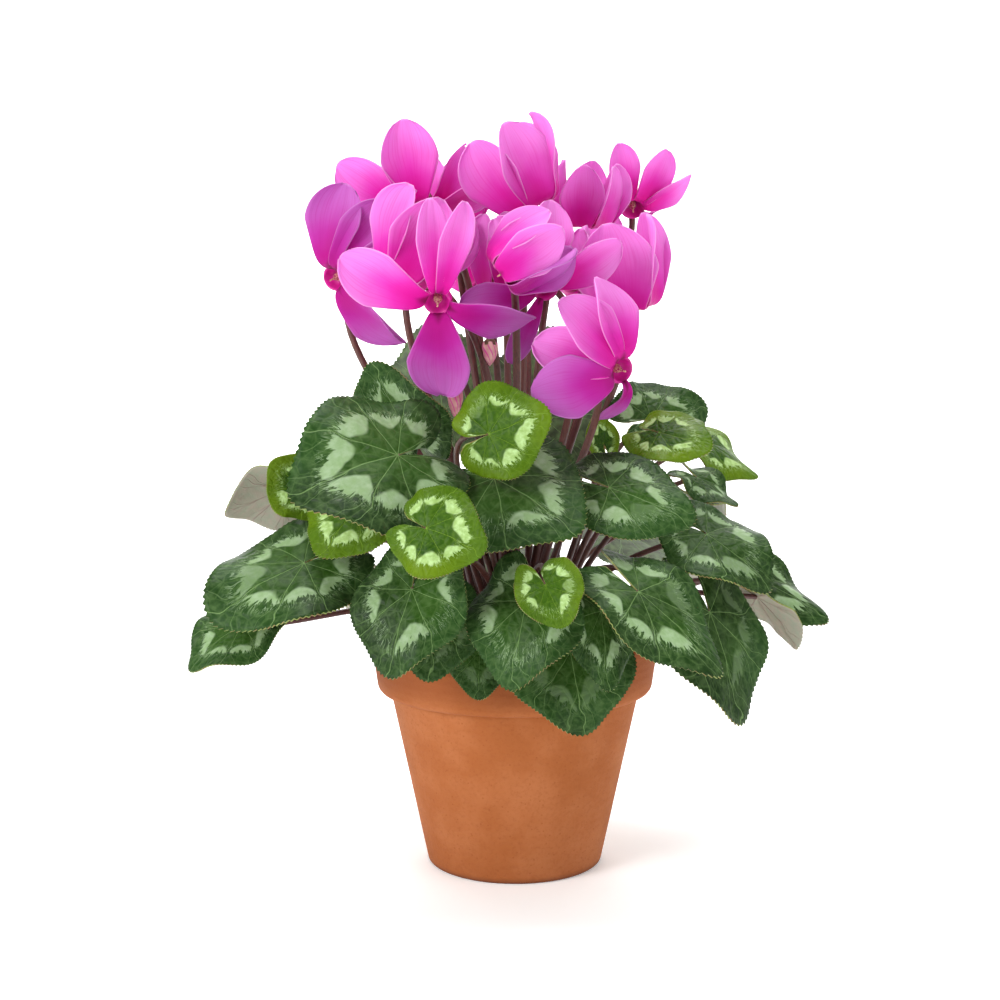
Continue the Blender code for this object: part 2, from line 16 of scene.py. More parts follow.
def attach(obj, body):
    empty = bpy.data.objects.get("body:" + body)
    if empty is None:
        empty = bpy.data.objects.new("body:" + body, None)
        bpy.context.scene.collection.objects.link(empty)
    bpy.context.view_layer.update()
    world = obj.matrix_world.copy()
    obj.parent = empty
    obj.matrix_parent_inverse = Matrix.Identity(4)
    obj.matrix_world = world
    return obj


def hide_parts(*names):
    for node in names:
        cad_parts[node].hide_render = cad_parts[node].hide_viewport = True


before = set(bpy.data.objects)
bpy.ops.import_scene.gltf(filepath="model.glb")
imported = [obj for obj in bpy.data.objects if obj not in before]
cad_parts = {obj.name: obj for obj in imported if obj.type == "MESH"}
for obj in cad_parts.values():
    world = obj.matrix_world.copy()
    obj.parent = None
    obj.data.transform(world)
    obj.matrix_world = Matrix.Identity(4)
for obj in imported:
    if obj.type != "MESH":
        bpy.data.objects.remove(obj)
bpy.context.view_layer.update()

bl_info = {
    "name": "Potted Cyclamen",
    "version": (1, 0, 0),
    "blender": (4, 5, 0),
    "location": "3D View > Sidebar > Cyclamen",
    "description": "Makes a florist's cyclamen in a terracotta pot, piece by piece",
    "category": "Add Mesh",
}

MM = 0.001

# Pot and soil
POT_HEIGHT = 104
POT_BASE_RADIUS = 39.5
POT_BODY_RADIUS = 56.5
POT_RIM_RADIUS = 65.5
COLLAR_HEIGHT = 25
COLLAR_STEP = 5.5
COLLAR_ROUND = 3.5
RIM_ROUND = 2.2
FOOT_ROUND = 1.5
POT_WALL = 5.5
POT_FLOOR = 7
DRAIN_RADIUS = 7
SOIL_TOP = 92
SOIL_DOME = 2
SOIL_GAP = 0.3
SOIL_LUMPS = 1.6
# heights over which painted shade darkens the clay towards the rim, where the leaves shade it
RIM_SHADE_FROM = 78
RIM_SHADE_FULL = 90
# height of a painted contact shadow: a dark line on the clay where the pot meets the paper
FOOT_SHADOW_HEIGHT = 3.5

# Tuber
TUBER_RADIUS = 21
TUBER_TOP = 100
TUBER_BOTTOM = 78
TUBER_KNOBS = 1.3

# Stalks
CROWN_RADIUS = 13
CROWN_SHARE = 0.25
STALK_ROOT_DEPTH = 6
STALK_END_GAP = 0.9
LEAF_STALK_RADIUS = 1.3
STALK_STEPS = 24
LEAF_STALK_STEPS = 20
HOOK_STEPS = 12

# Leaf blades
BLADE_THICKNESS = 0.8
BLADE_REACH = 0.77
BLADE_FORWARD = 0.13
BLADE_TIP = 0.1
TIP_SPREAD = 0.3
BLADE_CORNERS = 0.03
NOTCH_ANGLE = 9
LOBE_ANGLE = 148
LOBE_ROUNDING = 0.4
WAVES_ROUND = 4
QUILT_HEIGHT = 3
RUFFLE_HEIGHT = 2.4
RUFFLE_REACH = 0.035
RUFFLES_ROUND = 2.2
MAIN_VEINS = 8.9  # main veins in a full turn round the stalk's end
BLADE_MAP = 90  # millimetres on a full-grown blade to one unit of its flat map
MAP_MIDRIBS = 2.1  # midribs to one unit of a blade's flat map

# Blooms
PETALS = 5
PETAL_LENGTH = 46
PETAL_WIDTH = 28
PETAL_WIDEST = 0.6
PETAL_BASE = 0.22
MOUTH_LEAN = 140
FOLD_END = 0.28
TIP_CLOSING = 14
PETAL_TWIST = 25
PETAL_CURL = 0.9
PETAL_TIP_DROP = 0.12
PETAL_CORNER_DROP = 0.1
GROOVE_DEPTH = 0.5
GROOVE_WIDTH = 0.12
SEPAL_HALF_WIDTH = 2.3
SEPAL_THICKNESS = 0.35
THROAT_RADIUS = 6
CALYX_HEIGHT = 9.5
HOOK_OFFSET = 9
BUD_RADIUS = 3.2

# A blade by its stalk end and its tip, the way its upper side looks (degrees round from the front,
# degrees up), its width against a plain leaf's, how far its midrib bends down, how far its halves fold
# down, the height of its waves, and its kind: mature, young, plain (the mature look with its patches
# faded, painted shade for low leaves), or at the back of the plant inner, with an underside painted dark
# green as shade, or turned, with its marked side facing back and its front painted dark green as shade.
Leaf = namedtuple("Leaf", "base tip face width bend fold wave kind")

LEAVES = {
    "front": [
        Leaf((-11, -83, 200), (14, -87, 208), (0, 15), 1.0, 15, 5, 2, "young"),
        Leaf((-48, -78, 191), (-91, -96, 177), (-15, 25), 0.95, 25, 10, 3, "mature"),
        Leaf((-9, -69, 181), (25, -91, 160), (0, 35), 0.9, 25, 15, 2, "mature"),
        Leaf((-35, -108, 165), (-12, -114, 157), (-5, 20), 1.0, 20, 10, 2, "young"),
        Leaf((38, -68, 177), (72, -78, 163), (10, 35), 0.75, 20, 20, 2, "mature"),
        Leaf((48, -94, 138), (78, -106, 106), (25, 35), 0.62, 25, 15, 3, "mature"),
        Leaf((4, -86, 133), (-3, -98, 99), (-10, 30), 0.85, 25, 20, 4, "mature"),
        Leaf((11, -102, 142), (19, -108, 126), (0, 25), 1.0, 20, -30, 2, "young"),
        Leaf((34, -80, 128), (36, -90, 97), (10, 15), 0.62, 20, 15, 3, "mature"),
        Leaf((-42, -88, 138), (-51, -100, 104), (-15, 25), 0.85, 25, 15, 2, "mature"),
        Leaf((-33, -69, 125), (-36, -77, 98), (-10, 15), 1.0, 15, 10, 1, "plain"),
        Leaf((-15, -69, 110), (-16, -75, 90), (0, 10), 0.9, 10, 10, 1, "plain"),
        Leaf((22, -74, 110), (27, -85, 77), (10, 10), 1.0, 10, 15, 1, "plain"),
    ],
    "left": [
        Leaf((-47, -31, 199), (-60, -49, 228), (-30, 20), 0.8, 10, 10, 2, "mature"),
        Leaf((-50, -12, 207), (-53, -20, 222), (-20, 10), 0.8, 0, 20, 1, "mature"),
        Leaf((-66, -60, 168), (-80, -72, 148), (-25, 35), 1.1, 15, 10, 2, "young"),
        Leaf((-90, -42, 174), (-104, -48, 187), (-20, 20), 1.0, -20, -30, 2, "young"),
        Leaf((-101, -18, 171), (-128, -26, 163), (-130, 30), 0.9, 15, 10, 2, "mature"),
        Leaf((-88, -62, 145), (-126, -80, 124), (-20, 45), 0.85, 20, 15, 4, "mature"),
        Leaf((-114, -58, 119), (-137, -66, 101), (-30, 40), 0.8, 25, 20, 2, "mature"),
    ],
    "right": [
        Leaf((38, -28, 193), (34, -32, 206), (0, 10), 0.7, 0, -40, 1, "young"),
        Leaf((61, -39, 198), (82, -51, 191), (20, 35), 0.9, 20, 10, 2, "young"),
        Leaf((61, -4, 202), (88, 12, 206), (15, 35), 0.9, 10, 10, 3, "mature"),
        Leaf((89, 13, 190), (110, 13, 173), (50, 50), 1.0, 20, 10, 2, "young"),
        Leaf((80, -19, 177), (96, -25, 164), (40, 50), 0.8, 15, 10, 2, "mature"),
        Leaf((80, -53, 156), (106, -67, 135), (25, 45), 0.85, 20, 15, 3, "mature"),
        Leaf((107, -8, 132), (138.5, -14, 110), (30, 45), 0.65, 20, 15, 4, "mature"),
        Leaf((104, -36, 127), (123, -42, 106), (150, 40), 0.5, 20, 15, 3, "mature"),
        Leaf((80, -65, 125), (93, -74, 80), (30, 20), 0.7, 15, 20, 3, "plain"),
    ],
    "back": [
        Leaf((-60, 40, 170), (-98, 62, 150), (-130, 40), 0.9, 20, 15, 3, "mature"),
        Leaf((-34, 52, 202), (-40, 66, 246), (-5, 15), 0.95, 15, 10, 2, "turned"),
        Leaf((14, 54, 200), (19, 70, 243), (5, 15), 0.95, 15, 10, 2, "turned"),
        Leaf((66, 50, 168), (102, 72, 146), (130, 45), 0.9, 20, 15, 3, "mature"),
        Leaf((-60, 68, 125), (-82, 96, 98), (-140, 35), 0.8, 20, 15, 2, "mature"),
        Leaf((-3, 80, 128), (-1, 116, 98), (180, 35), 0.8, 20, 15, 2, "inner"),
        Leaf((54, 72, 142), (78, 98, 114), (145, 35), 0.8, 20, 15, 2, "inner"),
        Leaf((-95, 26, 135), (-132, 36, 110), (-110, 40), 0.9, 20, 15, 3, "mature"),
        Leaf((96, 34, 126), (130, 46, 104), (110, 40), 0.85, 20, 15, 3, "mature"),
    ],
}

# Where a stalk has to swing round a neighbouring blade, the place that its upper half bends towards.
STALK_BENDS = {
    "leaf_front_1": (-45, -44, 203),
    "leaf_front_4": (-12, -90, 146),
    "leaf_front_6": (48, -72, 157),
    "leaf_front_8": (12, -90, 158),
    "bloom_6": (10, 10, 260),
    "bloom_8": (2, -50, 246),
    "bloom_13": (42, -50, 202),
}

# A bloom by the middle of its mouth, the way its petals sweep (degrees round from the front, degrees
# up), where its stalk hooks in (degrees round the sweep), how far that side opens, its size, and its
# petals, each by its place round the sweep, how far it opens from it, and its width against a plain one.
Bloom = namedtuple("Bloom", "mouth sweep hook open size petals")


def like_petals(hook, gap, opened, broad):
    """Five like petals round a sweep, with a gap where the stalk hooks in."""
    first, step = hook + gap / 2, (360 - gap) / (PETALS - 1)
    return tuple((first + step * number, opened, broad) for number in range(PETALS))


BLOOMS = [
    Bloom((-32, -68, 252), (180, 35), 50, 75, 0.87,
          ((88, 98, 1.2), (204, 80, 1.0), (266, 60, 0.6), (286, 66, 0.6), (20, 76, 0.9))),
    Bloom((-47, -38, 264), (90, 63), 180, 18, 0.9,
          ((235, 16, 0.9), (298, 16, 1.15), (0, 16, 1.15), (62, 16, 1.15), (125, 16, 0.9))),
    Bloom((-80, -12, 264), (145, 20), 110, 70, 0.85,
          ((280, 66, 1.15), (310, 60, 0.9), (345, 50, 0.8), (15, 50, 0.8), (55, 75, 1.1))),
    Bloom((-42, 4, 295), (180, 45), 50, 60, 0.85,
          ((206, 75, 1.1), (258, 55, 1.15), (330, 28, 1.0), (350, 60, 0.9), (110, 80, 0.9))),
    Bloom((-27, 34, 292), (0, 85), 90, 12, 0.75, like_petals(90, 110, 12, 1.0)),
    Bloom((9, -14, 296), (-90, 62), 75, 16, 0.92,
          ((130, 16, 1.15), (192, 16, 1.15), (255, 16, 1.0), (318, 16, 0.8), (20, 16, 0.8))),
    Bloom((-4, -23, 259), (180, 84), 90, 8, 0.8, like_petals(90, 110, 8, 0.9)),
    Bloom((-6, -68, 264), (90, 35), 180, 8, 0.75, like_petals(180, 110, 8, 1.0)),
    Bloom((12, -43, 259), (180, 20), 45, 78, 0.75,
          ((333, 74, 1.0), (275, 62, 1.0), (230, 60, 0.8), (163, 80, 0.9), (112, 85, 0.55))),
    Bloom((32, 16, 290), (20, 78), 0, 16, 0.7, like_petals(0, 110, 16, 1.1)),
    Bloom((55, 34, 298), (180, 40), 85, 60, 0.62,
          ((255, 55, 0.9), (303, 60, 1.1), (338, 66, 0.9), (30, 30, 0.8), (190, 25, 0.6))),
    Bloom((51, -16, 252), (-60, 76), 320, 14, 0.97,
          ((15, 16, 0.8), (72, 14, 0.9), (130, 12, 1.4), (205, 14, 1.0), (265, 12, 0.8))),
    Bloom((43, -66, 225), (-145, 12), 115, 65, 0.8,
          ((224, 70, 1.2), (258, 64, 1.2), (163, 74, 1.2), (192, 50, 1.0), (68, 45, 0.5))),
    Bloom((-14, 64, 264), (180, 60), 0, 35, 0.9, like_petals(0, 110, 35, 1.0)),
    Bloom((34, 60, 262), (150, 60), 0, 35, 0.9, like_petals(0, 110, 35, 1.0)),
]

# Petals in the shade of the plant: all of these blooms', and any whose middle is no higher over its
# mouth than this.
SHADED_BLOOMS = (BLOOMS[2],)
SHADED_BELOW = 6

# A bud by its tip, the way it hangs (degrees round from the front, degrees up) and its length.
Bud = namedtuple("Bud", "tip hang length")

BUDS = [
    Bud((-26, -38, 202), (0, -80), 16),
    Bud((-11, -50, 225), (0, -80), 12),
]


# ---------------------------------------------------------------- colours and materials

# Settings that many nodes share: a smooth ramp, and a mix of two colours, which takes its share at
# input 0 and the colours at inputs 6 and 7, and gives the result at output 2.
SMOOTH = {"interpolation_type": "SMOOTHSTEP"}
TONES = {"data_type": "RGBA", "out": 2}


def srgb(code):
    """Linear colour of a six-figure code, as the shaders want it."""
    parts = [int(code[start : start + 2], 16) / 255 for start in (1, 3, 5)]
    return tuple(part / 12.92 if part <= 0.04045 else ((part + 0.055) / 1.055) ** 2.4 for part in parts)


def colour(name, description, code):
    """Colour property whose default is a six-figure code."""
    return bpy.props.FloatVectorProperty(
        name=name, description=description, subtype="COLOR", size=3, min=0, max=1, default=srgb(code)
    )


def millimetres(name, description, size):
    """Length property whose default is in millimetres."""
    return bpy.props.FloatProperty(name=name, description=description, default=size * MM, unit="LENGTH")


def watts(name, description, amount):
    """Power property of a light."""
    return bpy.props.FloatProperty(name=name, description=description, default=amount, unit="POWER")


def per(size):
    """Texture scale whose features measure a size in millimetres, on coordinates in metres."""
    return 1000 / size


def per_map(size):
    """Texture scale whose features measure a size in millimetres, on a blade's flat map."""
    return BLADE_MAP / size


def add_node(tree, kind, feeds=(), out=0, **settings):
    """Add a node with its settings, feed its inputs, in order or by number or name, and give an output."""
    made = tree.nodes.new("ShaderNode" + kind)
    for key, value in settings.items():
        setattr(made, key, value)
    for key, value in feeds.items() if isinstance(feeds, dict) else enumerate(feeds):
        if isinstance(value, bpy.types.NodeSocket):
            tree.links.new(value, made.inputs[key])
        elif made.inputs[key].type == "RGBA":
            made.inputs[key].default_value = (*value, 1)
        else:
            made.inputs[key].default_value = value
    return made.outputs[out]


def new_material(name, roughness, **sockets):
    """Fresh material with the shader's plain numbers set on its own sockets, and what adds a node to it
    and what links two sockets."""
    made = bpy.data.materials.new(name)
    made.use_nodes = True
    tree = made.node_tree
    shader = tree.nodes["Principled BSDF"]
    shader.inputs["Roughness"].default_value = roughness
    for key, value in sockets.items():
        shader.inputs[key.replace("_", " ")].default_value = value
    return made, shader, partial(add_node, tree), tree.links.new


def terracotta_material(look):
    """Unglazed fired clay: matte orange-brown with paler bloom, dark specks and faint turning lines,
    with painted shade round the rim, where the leaves shade it, and a painted shadow line at the foot."""
    made, shader, node, link = new_material("terracotta", 0.88, Specular_IOR_Level=0.25)
    place = node("TexCoord", out="Object")
    height = node("SeparateXYZ", [place], out=2)
    cloud = node("TexNoise", {"Vector": place, "Scale": per(28), "Detail": 4.0, "Roughness": 0.6})
    fine = node("TexNoise", {"Vector": place, "Scale": per(1.6), "Detail": 3.0, "Roughness": 0.7})
    grit = node("TexVoronoi", {"Vector": place, "Scale": per(3.2)})
    tone = look.clay
    for pattern, limits, over in (
        (cloud, (0.35, 0.68, 0.0, 1.0), look.pale_clay),
        (fine, (0.45, 0.75, 0.0, 0.4), look.dark_clay),
        (grit, (0.1, 0.16, 0.55, 0.0), look.dark_clay),
        # painted shade: the clay darkens towards the rim, where the leaves shade it
        (height, (RIM_SHADE_FROM * MM, RIM_SHADE_FULL * MM, 0.0, 0.9), look.dark_clay),
        # painted shadow: a dark line at the foot, where the pot meets the paper
        (height, (0.0, FOOT_SHADOW_HEIGHT * MM, 0.75, 0.0), look.foot_shadow),
    ):
        share = node("MapRange", [pattern, *limits], **SMOOTH)
        tone = node("Mix", {0: share, 6: tone, 7: over}, **TONES)
    link(tone, shader.inputs["Base Color"])
    # faint turning rings: bands of this scale lie 3.8 mm apart
    bands = {"Vector": place, "Scale": per(12), "Distortion": 1.5}
    rings = node("TexWave", bands, out=1, bands_direction="Z")
    rough = node("Math", [rings, 0.25, fine], operation="MULTIPLY_ADD")
    link(node("Bump", {"Height": rough, "Distance": 0.25 * MM}), shader.inputs["Normal"])
    return made


def soil_material(look):
    """Moist peat: almost black, with brown fibres and pale grains."""
    made, shader, node, link = new_material("potting soil", 0.95, Specular_IOR_Level=0.2)
    place = node("TexCoord", out="Object")
    lumps = node("TexNoise", {"Vector": place, "Scale": per(4), "Detail": 4.0, "Roughness": 0.7})
    grain = node("TexVoronoi", {"Vector": place, "Scale": per(2.4)})
    fibrous = node("MapRange", [lumps, 0.35, 0.7], **SMOOTH)
    tone = node("Mix", {0: fibrous, 6: look.peat, 7: look.fibre}, **TONES)
    grainy = node("MapRange", [grain, 0.06, 0.12, 0.5, 0.0], **SMOOTH)
    tone = node("Mix", {0: grainy, 6: tone, 7: look.grain}, **TONES)
    link(tone, shader.inputs["Base Color"])
    link(node("Bump", {"Height": lumps, "Distance": 1.2 * MM}), shader.inputs["Normal"])
    return made


def tuber_material(look):
    """Corky brown skin of the tuber, cracked into small plates."""
    made, shader, node, link = new_material("tuber skin", 0.9, Specular_IOR_Level=0.2)
    place = node("TexCoord", out="Object")
    plates = node("TexVoronoi", {"Vector": place, "Scale": per(4)}, feature="DISTANCE_TO_EDGE")
    raised = node("MapRange", [plates, 0.0, 0.2], **SMOOTH)
    link(node("Mix", {0: raised, 6: look.peat, 7: look.tuber}, **TONES), shader.inputs["Base Color"])
    link(node("Bump", {"Height": plates, "Distance": 0.8 * MM}), shader.inputs["Normal"])
    return made


def stalk_material(name, top, look):
    """Fleshy stalk: satin, streaked along its height, redder towards the crown."""
    made, shader, node, link = new_material(name, 0.42)
    place = node("TexCoord", out="Object")
    height = node("SeparateXYZ", [place], out=2)
    stretched = node("Mapping", {"Vector": place, "Scale": (1.0, 1.0, 0.12)})
    streaks = node("TexNoise", {"Vector": stretched, "Scale": per(0.9)})
    patch = node("TexNoise", {"Vector": place, "Scale": per(14)})
    tone = look.crown
    for pattern, limits, over in (
        (height, (0.1, 0.24, 0.0, 1.0), top),
        (patch, (0.4, 0.7, 0.0, 0.6), look.crown),
        (streaks, (0.45, 0.7, 0.0, 0.6), look.streak),
    ):
        share = node("MapRange", [pattern, *limits], **SMOOTH)
        tone = node("Mix", {0: share, 6: tone, 7: over}, **TONES)
    link(tone, shader.inputs["Base Color"])
    link(node("Bump", {"Height": streaks, "Distance": 0.15 * MM}), shader.inputs["Normal"])
    return made


def blade_veins(node):
    """Where a point lies on a blade: its flat place, its share of the reach, its turn counted in fields
    between main veins, how far it is from a main vein, and how close to any vein's line."""
    flat = node("UVMap", uv_map="flat")
    reach = node("SeparateXYZ", [node("UVMap", uv_map="polar")])
    turn = reach.node.outputs[1]
    wander = node("TexNoise", {"Vector": flat, "Scale": per_map(20), "Detail": 2.0})
    wander = node("Math", [wander, 0.5], operation="SUBTRACT")
    wander = node("Math", [wander, node("Math", [reach, 0.9], operation="MULTIPLY")], operation="MULTIPLY")
    sector = node("Math", [turn, MAIN_VEINS, -MAIN_VEINS / 2], operation="MULTIPLY_ADD")
    sector = node("Math", [sector, wander], operation="ADD")
    middle = node("Math", [sector], operation="FRACT")
    middle = node("Math", [middle, 0.5], operation="SUBTRACT")
    middle = node("Math", [middle], operation="ABSOLUTE")
    beside = node("Math", [0.5, middle], operation="SUBTRACT")
    # side veins fork off the main ones two fifths of the way out
    spread = node("Math", [reach, 0.42], operation="SUBTRACT")
    spread = node("Math", [spread, 0.0], operation="MAXIMUM")
    spread = node("Math", [spread, 0.55], operation="MULTIPLY")
    fork = node("Math", [beside, spread], operation="SUBTRACT")
    fork = node("Math", [fork], operation="ABSOLUTE")
    main = node("Math", [beside, reach], operation="MULTIPLY")
    main = node("MapRange", [main, 0.003, 0.013, 1.0, 0.0], **SMOOTH)
    side = node("Math", [fork, reach], operation="MULTIPLY")
    side = node("MapRange", [side, 0.002, 0.011, 0.45, 0.0], **SMOOTH)
    line = node("Math", [main, side], operation="MAXIMUM")
    return flat, reach, sector, beside, line


def upper_material(name, centre, margin, silver, vein, edge, strength):
    """Upper side of a blade: green with a broken ring of silver patches that feather outwards between
    pale veins, a darker or limier margin, and a quilted satin surface."""
    made, shader, node, link = new_material(name, 0.45, Specular_IOR_Level=0.12)
    flat, reach, sector, beside, line = blade_veins(node)
    place = node("TexCoord", out="Object")
    field = node("Math", [sector], operation="FLOOR")
    leaf_number = node("Math", [node("SeparateXYZ", [flat])], operation="FLOOR")
    keys = node("CombineXYZ", [field, leaf_number])
    chance = node("TexWhiteNoise", {"Vector": keys}, noise_dimensions="2D")
    own = node("TexWhiteNoise", {"W": leaf_number}, noise_dimensions="1D")
    uneven = node("TexNoise", {"Vector": flat, "Scale": per_map(10), "Detail": 2.0, "Roughness": 0.6})
    # inner edge of a patch: an uneven arc that bulges towards the stalk
    bulge = node("Math", [0.5, beside], operation="SUBTRACT")
    bulge = node("Math", [bulge, 2.0], operation="POWER")
    start = node("Math", [own, 0.08, 0.28], operation="MULTIPLY_ADD")
    start = node("Math", [bulge, 0.75, start], operation="MULTIPLY_ADD")
    start = node("Math", [uneven, 0.12, start], operation="MULTIPLY_ADD")
    start = node("Math", [chance, 0.12, start], operation="MULTIPLY_ADD")
    # outer edge: feathered along the small veins, eight to a field between main veins or about 1.3 mm
    # apart, which break every 10 mm or so on their way to the margin
    comb_place = node("CombineXYZ", [sector, reach, leaf_number])
    comb_place = node("Mapping", {"Vector": comb_place, "Scale": (8.0, 4.0, 1.0)})
    feathers = {"Scale": 1.0, "Detail": 3.5, "Roughness": 0.65, "Distortion": 0.8}
    comb = node("TexNoise", {"Vector": comb_place, **feathers})
    stop = node("Math", [chance, -0.05, 0.49], operation="MULTIPLY_ADD")
    stop = node("Math", [own, 0.08, stop], operation="MULTIPLY_ADD")
    stop = node("Math", [comb, 0.4, stop], operation="MULTIPLY_ADD")
    # a patch lies between the two edges, clear of the main veins, and a few fields have none
    inside = node("Math", [reach, start], operation="SUBTRACT")
    outside = node("Math", [stop, reach], operation="SUBTRACT")
    clear = node("Math", [comb, 0.12, beside], operation="MULTIPLY_ADD")
    patch = node("MapRange", [chance, 0.1, 0.16], **SMOOTH)
    for distance, limits in ((inside, (0.0, 0.06)), (outside, (0.0, 0.03)), (clear, (0.09, 0.15))):
        share = node("MapRange", [distance, *limits], **SMOOTH)
        patch = node("Math", [patch, share], operation="MULTIPLY")
    # antlers: thin pale lines that branch on outwards from the ring
    ridge = node("Math", [comb, 0.5], operation="SUBTRACT")
    ridge = node("Math", [ridge], operation="ABSOLUTE")
    antler = node("MapRange", [ridge, 0.0, 0.03, 0.7, 0.0], **SMOOTH)
    for limits in ((0.5, 0.6, 0.0, 1.0), (0.7, 0.84, 1.0, 0.0)):
        share = node("MapRange", [reach, *limits], **SMOOTH)
        antler = node("Math", [antler, share], operation="MULTIPLY")
    patch = node("Math", [patch, antler], operation="MAXIMUM")
    patch = node("Math", [patch, strength], operation="MULTIPLY")
    broad = node("TexNoise", {"Vector": place, "Scale": per(45)})
    mottle = node("TexNoise", {"Vector": flat, "Scale": per_map(3.5), "Detail": 3.0, "Roughness": 0.6})
    web = node("TexVoronoi", {"Vector": flat, "Scale": per_map(5.6)}, feature="DISTANCE_TO_EDGE")
    tone = centre
    for pattern, limits, over in (
        (reach, (0.45, 0.8, 0.0, 1.0), margin),
        (broad, (0.35, 0.65, 0.0, 0.8), edge),
        (mottle, (0.35, 0.8, 0.0, 0.22), vein),
        (web, (0.0, 0.08, 0.1, 0.0), vein),
    ):
        share = node("MapRange", [pattern, *limits], **SMOOTH)
        tone = node("Mix", {0: share, 6: tone, 7: over}, **TONES)
    tone = node("Mix", {0: node("Math", [line, 0.6], operation="MULTIPLY"), 6: tone, 7: vein}, **TONES)
    greener = node("MapRange", [mottle, 0.3, 0.65, 0.0, 0.6], **SMOOTH)
    frost = node("Mix", {0: greener, 6: silver, 7: vein}, **TONES)
    link(node("Mix", {0: patch, 6: tone, 7: frost}, **TONES), shader.inputs["Base Color"])
    quilt = node("MapRange", [web, 0.0, 0.35], **SMOOTH)
    quilt = node("Math", [quilt, line], operation="SUBTRACT")
    quilt = node("Math", [mottle, 0.5, quilt], operation="MULTIPLY_ADD")
    raised = node("Bump", {"Height": quilt, "Distance": 0.3 * MM, "Strength": 0.7})
    link(raised, shader.inputs["Normal"])
    link(node("MapRange", [mottle, 0.3, 0.8, 0.38, 0.5], **SMOOTH), shader.inputs["Roughness"])
    return made


def under_material(name, base, vein):
    """Underside of a blade: dull, with raised rosy or pale veins."""
    made, shader, node, link = new_material(name, 0.55)
    flat, _, _, _, line = blade_veins(node)
    mottle = node("TexNoise", {"Vector": flat, "Scale": per_map(5), "Detail": 3.0})
    blotchy = node("MapRange", [mottle, 0.3, 0.7, 0.0, 0.4], **SMOOTH)
    tone = node("Mix", {0: blotchy, 6: base, 7: vein}, **TONES)
    tone = node("Mix", {0: node("Math", [line, 0.8], operation="MULTIPLY"), 6: tone, 7: vein}, **TONES)
    link(tone, shader.inputs["Base Color"])
    raised = node("Math", [line, 1.5, mottle], operation="MULTIPLY_ADD")
    link(node("Bump", {"Height": raised, "Distance": 0.3 * MM}), shader.inputs["Normal"])
    return made


def petal_material(name, look, shade):
    """Petal: deep magenta at the mouth, hot pink in the middle, pale along its edge, with fine veins and
    light shining through it."""
    made, shader, node, link = new_material(name, 0.5, Specular_IOR_Level=0.15, Sheen_Weight=0.05)
    along = node("SeparateXYZ", [node("UVMap", uv_map="petal")])
    across = along.node.outputs[1]
    place = node("TexCoord", out="Object")
    # veins 0.8 mm apart, drawn coarser than real ones so that they show
    fine_place = node("CombineXYZ", [along, across, node("SeparateXYZ", [place])])
    vein_scale = (PETAL_LENGTH / 38, PETAL_WIDTH / 0.8, 4.0)
    stretched = node("Mapping", {"Vector": fine_place, "Scale": vein_scale})
    veins = node("TexNoise", {"Vector": stretched, "Scale": 1.0, "Detail": 2.0, "Distortion": 0.3})
    side = node("Math", [across, 0.5], operation="SUBTRACT")
    side = node("Math", [side], operation="ABSOLUTE")
    cloud = node("TexNoise", {"Vector": place, "Scale": per(16)})
    cloud = node("Math", [cloud, 0.5], operation="SUBTRACT")
    travel = node("Math", [cloud, 0.25, along], operation="MULTIPLY_ADD")
    travel = node("Math", [side, 0.35, travel], operation="MULTIPLY_ADD")
    tone = look.throat
    for pattern, limits, over in (
        (travel, (0.02, 0.16, 0.0, 1.0), look.deep),
        (travel, (0.15, 0.6, 0.0, 1.0), look.pink),
        (travel, (0.4, 0.94, 0.0, 1.0), look.pale),
        (veins, (0.45, 0.75, 0.0, 0.25), look.deep),
    ):
        share = node("MapRange", [pattern, *limits], **SMOOTH)
        tone = node("Mix", {0: share, 6: tone, 7: over}, **TONES)
    tip_rim = node("MapRange", [along, 0.975, 0.998, 0.0, 0.35], **SMOOTH)
    side_rim = node("MapRange", [side, 0.478, 0.497, 0.0, 0.35], **SMOOTH)
    rim = node("Math", [tip_rim, side_rim], operation="MAXIMUM")
    tone = node("Mix", {0: rim, 6: tone, 7: look.rim}, **TONES)
    tone = node("Mix", {0: shade, 6: tone, 7: look.violet}, **TONES, blend_type="MULTIPLY")
    link(tone, shader.inputs["Base Color"])
    link(node("Bump", {"Height": veins, "Distance": 0.12 * MM}), shader.inputs["Normal"])
    through = node("BsdfTranslucent", {"Color": tone})
    mixed = node("MixShader", [0.35, shader.outputs[0], through])
    link(mixed, made.node_tree.nodes["Material Output"].inputs["Surface"])
    return made


def edge_material(look):
    """Cut edge of a blade: the pale line along its teeth, dotted with reddish glands."""
    made, shader, node, link = new_material("leaf edge", 0.5)
    place = node("TexCoord", out="Object")
    dots = node("TexNoise", {"Vector": place, "Scale": per(2.5), "Detail": 1.0})
    dots = node("MapRange", [dots, 0.4, 0.6], **SMOOTH)
    link(node("Mix", {0: dots, 6: look.tooth, 7: look.gland}, **TONES), shader.inputs["Base Color"])
    return made


def throat_material(look):
    """Mouth of a bloom: smooth wine red, blotched with the magenta of the petals."""
    made, shader, node, link = new_material("petal throat", 0.45)
    blotches = node("TexNoise", {"Vector": node("TexCoord", out="Object"), "Scale": per(3)})
    link(node("Mix", {0: blotches, 6: look.throat, 7: look.deep}, **TONES), shader.inputs["Base Color"])
    return made


def anther_material(look):
    """Stamens and style: dry rosy tan with dark grains of pollen."""
    made, shader, node, link = new_material("anther", 0.8)
    pollen = node("TexNoise", {"Vector": node("TexCoord", out="Object"), "Scale": per(0.7)})
    pollen = node("MapRange", [pollen, 0.4, 0.65], **SMOOTH)
    link(node("Mix", {0: pollen, 6: look.anther, 7: look.throat}, **TONES), shader.inputs["Base Color"])
    return made


